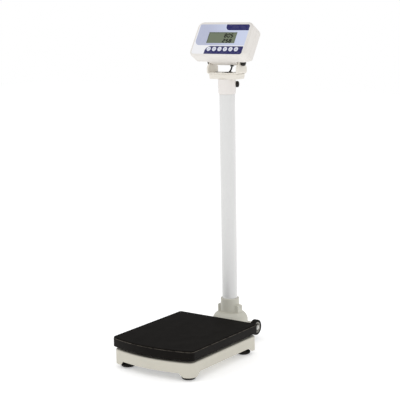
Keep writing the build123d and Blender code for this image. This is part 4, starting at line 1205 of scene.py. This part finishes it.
@dataclass
class ScrewFeet:
    """Four rubber feet on threaded studs."""

    edge: float = 0.0006
    corners: tuple[str, ...] = ("front_left", "front_right", "rear_left", "rear_right")
    thread_pitch: float = 0.0015
    thread_depth: float = 0.0007
    crest_half: float = 0.08    # half of a crest's width, as a share of the pitch
    tip_length: float = 0.0006
    tip_depth: float = 1.6      # as a multiple of the thread's depth
    steps: int = 40

    def stud(self, corner: str) -> None:
        """Make one stud with a cut thread.

        Args:
            corner: The foot's corner.
        """
        node = f"foot_stud_{corner}"
        low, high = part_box(node)
        middle = (low + high) / 2
        radius = (high.x - low.x) / 2
        length = high.z - low.z
        root = radius - self.thread_depth
        outline = [(0.0, 0.0), (0.0, root)]
        for turn in range(int(length / self.thread_pitch) - 1):
            start = self.thread_pitch * (turn + 0.5)
            outline.append((start, root))
            outline.append((start + self.thread_pitch * (0.5 - self.crest_half), radius))
            outline.append((start + self.thread_pitch * (0.5 + self.crest_half), radius))
        outline.append((length - self.tip_length, root))
        outline.append((length, radius - self.thread_depth * self.tip_depth))
        outline.append((length, 0.0))
        foot = Vector((middle.x, middle.y, low.z))
        mesh = CRAFT.lathe(outline, foot, Vector((0, 0, 1)), self.steps)
        piece = CRAFT.finish_mesh(mesh, node + "_threaded", ZINC, BODY_OF[node])
        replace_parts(piece, node)

    def build(self) -> None:
        """Shape the pads and the studs."""
        for corner in self.corners:
            CRAFT.soften(f"foot_pad_{corner}", FOOT_RUBBER, self.edge)
            self.stud(corner)


@dataclass
class TransportWheels:
    """Two wheels on an axle behind the platform."""

    shoulder: float = 0.0030
    groove_depth: float = 0.0006
    groove_half: float = 0.0007
    groove_floor: float = 0.6   # width of a groove's floor, as a share of its mouth
    groove_places: tuple[float, float] = (0.38, 0.62)
    shoulder_steps: int = 6
    hub_edge: float = 0.0005
    steps: int = 96

    def tyre(self, side: Side) -> None:
        """Make one tyre with rounded shoulders and two fine grooves.

        Args:
            side: Which wheel.
        """
        node = f"wheel_tyre_{side.word}"
        low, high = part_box(node)
        hub_low, hub_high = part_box(f"wheel_hub_{side.word}")
        centre = (low + high) / 2
        outer = (high.z - low.z) / 2
        inner = (hub_high.z - hub_low.z) / 2
        width = high.x - low.x
        turns = [
            math.pi / 2 * step / self.shoulder_steps for step in range(self.shoulder_steps + 1)
        ]
        drops = [
            (self.shoulder * (1 - math.cos(turn)), self.shoulder * (1 - math.sin(turn)))
            for turn in turns
        ]
        outline = [(0.0, inner)]
        outline += [(inward, outer - drop) for inward, drop in drops]
        for share in self.groove_places:
            middle = width * share
            floor_half = self.groove_half * self.groove_floor
            outline.append((middle - self.groove_half, outer))
            outline.append((middle - floor_half, outer - self.groove_depth))
            outline.append((middle + floor_half, outer - self.groove_depth))
            outline.append((middle + self.groove_half, outer))
        outline += [(width - inward, outer - drop) for inward, drop in reversed(drops)]
        outline.append((width, inner))
        start = Vector((low.x, centre.y, centre.z))
        mesh = CRAFT.lathe(outline, start, Vector((1, 0, 0)), self.steps)
        piece = CRAFT.finish_mesh(
            mesh, node + "_moulded", TYRE_RUBBER, BODY_OF[node]
        )
        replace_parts(piece, node)

    def build(self) -> None:
        """Shape the tyres and the hubs."""
        for side in Side:
            self.tyre(side)
            CRAFT.soften(f"wheel_hub_{side.word}", HUB_GREY, self.hub_edge)

    def dress(self) -> None:
        """Finish the axle and its small parts."""
        CRAFT.carry("wheel_axle", ZINC)
        CRAFT.carry("axle_clips", ZINC)
        CRAFT.carry("axle_spacers", FITTING_BLACK)


@dataclass
class Column:
    """Socket, set screws and the tall tube."""

    socket_edge: float = 0.0012

    def build(self) -> None:
        """Shape the socket."""
        CRAFT.soften("column_socket", SOCKET_CREAM, self.socket_edge, segments=3)

    def dress(self) -> None:
        """Finish the tube and the screws."""
        CRAFT.carry("column_tube", TUBE_WHITE)
        CRAFT.carry("column_set_screws", ZINC)
        CRAFT.carry("column_socket_bolts", ZINC)


@dataclass
class Swivel:
    """Ferrule that turns on the column, with the U bracket that carries the head."""

    ferrule_edge: float = 0.0008
    block_edge: float = 0.0012
    bracket_edge: float = 0.0010
    screw_edge: float = 0.0003

    def build(self) -> None:
        """Shape the ferrule, the block and the bracket."""
        CRAFT.soften("swivel_ferrule", FERRULE_WHITE, self.ferrule_edge)
        CRAFT.soften("bracket_block", BRACKET_CREAM, self.block_edge, segments=3)
        CRAFT.soften("u_bracket", BRACKET_CREAM, self.bracket_edge, segments=3)
        CRAFT.soften("bracket_screws", ZINC, self.screw_edge)

    def dress(self) -> None:
        """Finish the bush, grommet, washers, cord and knobs."""
        CRAFT.carry("swivel_bush", BUSH_NYLON)
        CRAFT.carry("bracket_grommet", CORD_BLACK)
        CRAFT.carry("tilt_washers", ZINC)
        CRAFT.carry("head_cable", CORD_BLACK)
        CRAFT.carry("clamp_knob", KNOB_BLACK)
        for side in Side:
            CRAFT.carry(f"tilt_knob_{side.word}", KNOB_BLACK)


PRINT_GAP = 0.00001         # print stands this far off the surface under it


@dataclass(frozen=True)
class DigitRow:
    """One row of digits, placed by its lower left corner in the face's frame."""

    text: str
    left: float
    low: float
    width: float
    height: float


@dataclass
class Readout:
    """Seven segment digits that lie on the display's glass."""

    node: str = "display_module"
    thickness: float = 0.00006
    stroke: float = 0.0035
    gap: float = 0.0001
    lean: float = 0.08
    rows: tuple[DigitRow, ...] = (
        DigitRow("805", left=0.0088, low=0.0500, width=0.0108, height=0.0150),
        DigitRow("258", left=0.0076, low=0.0322, width=0.0108, height=0.0140),
    )
    pitch: float = 0.0118
    dot: float = 0.0012
    dot_inset: float = 0.0008
    lit: dict[str, str] = field(
        default_factory=lambda: {
            "0": "abcdef", "2": "abged", "5": "afgcd", "8": "abcdefg",
        }
    )

    def segment(self, letter: str, width: float, height: float) -> list[tuple[float, float]]:
        """Outline of one segment.

        Args:
            letter: Segment letter, a to g.
            width: Digit width.
            height: Digit height.

        Returns:
            Corners, anticlockwise.
        """
        half = self.stroke / 2
        middle = height / 2
        levels = {"a": height - half, "g": middle, "d": half}
        if letter in levels:
            level = levels[letter]
            left, right = half + self.gap, width - half - self.gap
            return [
                (left, level), (left + half, level - half), (right - half, level - half),
                (right, level), (right - half, level + half), (left + half, level + half),
            ]
        across = width - half if letter in "bc" else half
        low, high = (middle, height - half) if letter in "bf" else (half, middle)
        low, high = low + self.gap, high - self.gap
        return [
            (across, low), (across + half, low + half), (across + half, high - half),
            (across, high), (across - half, high - half), (across - half, low + half),
        ]

    def outlines(self, row: DigitRow) -> list[list[tuple[float, float]]]:
        """Outlines of a row's lit segments, and of the dot before its last digit.

        Args:
            row: The row.

        Returns:
            The outlines, each anticlockwise.
        """
        shapes = []
        for place, digit in enumerate(row.text):
            start = row.left + place * self.pitch
            for letter in self.lit[digit]:
                corners = self.segment(letter, row.width, row.height)
                shapes.append([(start + x + up * self.lean, row.low + up) for x, up in corners])
        left = row.left + (len(row.text) - 1) * self.pitch - self.dot_inset
        right, top = left + self.dot, row.low + self.dot
        shapes.append([(left, row.low), (right, row.low), (right, top), (left, top)])
        return shapes

    def build(self) -> None:
        """Lay every lit segment on the glass."""
        glass = frame["nodes"][self.node].data.vertices
        surface = max(FACE.local(vertex.co).z for vertex in glass)
        meshes = [
            CRAFT.plate(outline, surface + PRINT_GAP, surface + self.thickness)
            for row in self.rows for outline in self.outlines(row)
        ]
        CRAFT.finish_mesh(
            CRAFT.join(meshes), "readout_segments", SEGMENT_INK, BODY_OF[self.node],
        )


@dataclass
class KeyRow:
    """Six round keys, each with a plain printed sign."""

    edge: float = 0.00025
    print_thickness: float = 0.00005
    sign_half: float = 0.0034
    stroke: float = 0.0011

    def bar(self, start: tuple[float, float], end: tuple[float, float]) -> list[tuple]:
        """Outline of a straight stroke.

        Args:
            start: One end, as (x, up) from the key's middle.
            end: The other end.

        Returns:
            Corners, anticlockwise.
        """
        along = Vector((end[0] - start[0], end[1] - start[1])).normalized() * self.stroke / 2
        across = Vector((-along.y, along.x))
        corners = [
            Vector(start) - along - across, Vector(end) + along - across,
            Vector(end) + along + across, Vector(start) - along + across,
        ]
        return [(corner.x, corner.y) for corner in corners]

    def signs(self) -> list[list[list[tuple]]]:
        """Strokes of the six signs, left to right.

        Returns:
            For each key, the outlines of its strokes.
        """
        h = self.sign_half
        return [
            [self.bar((-h, -h * 0.7), (h, h * 0.7))],
            [self.bar((-h, h * 0.5), (h, h * 0.5)), self.bar((-h, -h * 0.5), (h, -h * 0.5))],
            [self.bar((-h, h * 0.7), (h, -h * 0.7))],
            [self.bar((-h, 0.0), (h, 0.0)), self.bar((0.0, -h), (0.0, h))],
            [self.bar((-h * 0.8, -h * 0.8), (0.0, h * 0.6)),
             self.bar((0.0, h * 0.6), (h * 0.8, -h * 0.8))],
            [self.bar((0.0, 0.0), (0.0, h)), self.bar((-h * 0.8, h * 0.2), (-h * 0.8, -h * 0.6)),
             self.bar((-h * 0.8, -h * 0.7), (h * 0.8, -h * 0.7)),
             self.bar((h * 0.8, -h * 0.6), (h * 0.8, h * 0.2))],
        ]

    def build(self) -> None:
        """Shape each key and print its sign."""
        for number, strokes in enumerate(self.signs(), start=1):
            node = f"key_{number}"
            points = [FACE.local(v.co) for v in frame["nodes"][node].data.vertices]
            top = max(point.z for point in points)
            middle = Vector((
                (max(p.x for p in points) + min(p.x for p in points)) / 2,
                (max(p.y for p in points) + min(p.y for p in points)) / 2,
            ))
            CRAFT.soften(node, KEY_PALE, self.edge)
            for count, outline in enumerate(strokes, start=1):
                moved = [(middle.x + x, middle.y + up) for x, up in outline]
                mesh = CRAFT.plate(moved, top + PRINT_GAP, top + self.print_thickness)
                name = f"key_{number}_sign_{count}"
                CRAFT.finish_mesh(mesh, name, KEY_PRINT, BODY_OF[node])


@dataclass
class DisplayHead:
    """Two-part case with its face, works and fittings."""

    case_edge: float = 0.0009
    lug_edge: float = 0.0010
    fitting_edge: float = 0.0004
    screw_edge: float = 0.0003
    recess_half: float = 0.0955
    recess_low: float = -0.0095
    recess_high: float = 0.0985
    recess_floor: float = 0.060

    def in_recess(self, place: Vector) -> bool:
        """Whether a place belongs to the shallow recess that holds the face film.

        Args:
            place: A point of the scale.

        Returns:
            True inside the recess or on its rim.
        """
        point = FACE.local(place)
        across = abs(point.x) < self.recess_half
        upward = self.recess_low < point.y < self.recess_high
        return across and upward and point.z > self.recess_floor

    def build(self) -> None:
        """Shape the case halves and fittings."""
        CRAFT.soften(
            "head_front_shell", HEAD_CREAM, self.case_edge, segments=2, spared=self.in_recess
        )
        CRAFT.soften("head_rear_shell", HEAD_CREAM, self.lug_edge, segments=3)
        CRAFT.soften("cable_gland", FITTING_BLACK, self.fitting_edge)
        CRAFT.soften("dc_jack", FITTING_BLACK, self.fitting_edge)
        CRAFT.soften("head_screws", ZINC, self.screw_edge)

    def dress(self) -> None:
        """Finish the face and the works."""
        CRAFT.carry("overlay_panel", FILM)
        CRAFT.carry("display_module", GLASS)
        CRAFT.carry("main_board", BOARD_GREEN)
        CRAFT.carry("battery_pack", CELL_WRAP)
        CRAFT.carry("hinge_inserts", BRASS)
        CRAFT.carry("hinge_friction_discs", FIBRE)


@dataclass(frozen=True)
class Lamp:
    """A soft square light: where it hangs, its side in metres and its power in watts."""

    name: str
    place: tuple[float, float, float]
    size: float
    power: float


@dataclass
class Studio:
    """Pale floor, soft lights and the camera."""

    lamps: tuple[Lamp, ...] = (
        Lamp("key_light", (-1.9, -2.2, 2.6), size=1.6, power=20.0),
        Lamp("fill_light", (2.6, -1.2, 1.7), size=1.8, power=9.0),
        Lamp("rim_light", (0.6, 2.4, 2.2), size=1.4, power=8.0),
    )
    floor_half: float = 9.0
    camera_place: tuple[float, float, float] = (2.0825, -2.9036, 1.1091)
    azimuth: float = 35.43
    pitch: float = 9.785
    roll: float = -1.032
    lens: float = 106.1
    sensor: float = 36.0
    sight: float = 60.0
    ambient: float = 0.70

    def floor(self) -> None:
        """Lay a large pale floor with a faint grain."""
        mesh = bmesh.new()
        bmesh.ops.create_grid(mesh, x_segments=4, y_segments=4, size=self.floor_half)
        data = bpy.data.meshes.new("studio_floor")
        mesh.to_mesh(data)
        mesh.free()
        paper = StudioPaper(
            "studio_paper", linear(250, 250, 250), roughness=0.9, grain_scale=400.0,
            grain_depth=0.00002, mottle=0.1, shadow=0.98, edge=0.0, specular=0.1,
        )
        data.materials.append(paper.material())
        floor = bpy.data.objects.new("studio_floor", data)
        bpy.context.scene.collection.objects.link(floor)
        LOG.info("studio_floor in %s", paper.name)

    def light(self, lamp: Lamp, aim: Vector) -> None:
        """Hang one light.

        Args:
            lamp: The light.
            aim: Point it faces.
        """
        data = bpy.data.lights.new(lamp.name, "AREA")
        data.shape = "SQUARE"
        data.size = lamp.size
        data.energy = lamp.power
        holder = bpy.data.objects.new(lamp.name, data)
        holder.location = lamp.place
        holder.rotation_euler = (aim - Vector(lamp.place)).to_track_quat("-Z", "Y").to_euler()
        bpy.context.scene.collection.objects.link(holder)
        LOG.info("light %s", lamp.name)

    def surroundings(self) -> None:
        """Set an even white surrounding."""
        world = bpy.data.worlds.new("studio_white")
        world.use_nodes = True
        wiring = Wiring(world.node_tree)
        background = world.node_tree.nodes["Background"]
        background.inputs["Color"].default_value = WHITE
        seen = wiring.add("LightPath").outputs["Is Camera Ray"]
        extra = wiring.maths("MULTIPLY", seen, 1.0 - self.ambient)
        wiring.feed(background.inputs["Strength"], wiring.maths("ADD", extra, self.ambient))
        bpy.context.scene.world = world
        bpy.context.scene.view_settings.view_transform = "Standard"

    def camera(self) -> None:
        """Place the camera."""
        heading, dip = math.radians(self.azimuth), math.radians(self.pitch)
        forward = Vector((
            -math.sin(heading) * math.cos(dip), math.cos(heading) * math.cos(dip), -math.sin(dip)
        ))
        level = Vector((math.cos(heading), math.sin(heading), 0.0))
        above = level.cross(forward)
        turn = math.radians(self.roll)
        right = math.cos(turn) * level + math.sin(turn) * above
        up = -math.sin(turn) * level + math.cos(turn) * above
        eye = bpy.data.cameras.new("front_camera")
        eye.lens = self.lens
        eye.sensor_width = self.sensor
        eye.sensor_fit = "HORIZONTAL"
        eye.clip_end = self.sight
        holder = bpy.data.objects.new("front_camera", eye)
        holder.matrix_world = (
            Matrix.Translation(self.camera_place)
            @ Matrix((right, up, -forward)).transposed().to_4x4()
        )
        bpy.context.scene.collection.objects.link(holder)
        bpy.context.scene.camera = holder

    def build(self) -> None:
        """Set up the floor, surroundings, lights and camera."""
        self.floor()
        self.surroundings()
        for lamp in self.lamps:
            self.light(lamp, (CAD_LOW + CAD_HIGH) / 2)
        self.camera()


def main() -> None:
    """Build every sub-assembly in order and report what was made."""
    logging.basicConfig(level=logging.INFO, format="%(message)s")
    Studio().build()
    platform, tray, cell = Platform(), BaseTray(), WeighingCell()
    wheels, column, swivel, head = TransportWheels(), Column(), Swivel(), DisplayHead()
    for assembly in (platform, tray, cell, ScrewFeet(), wheels, column, swivel, head):
        assembly.build()
    for assembly in (platform, tray, cell, wheels, column, swivel, head):
        assembly.dress()
    Readout().build()
    KeyRow().build()
    missing = sorted(set(frame["nodes"]) - {name.rsplit("_", 1)[0] for name in CRAFT.made}
                     - set(CRAFT.made))
    LOG.info("%d pieces made, parts without a finish: %s", len(CRAFT.made), missing or "none")


if __name__ == "__main__":
    main()
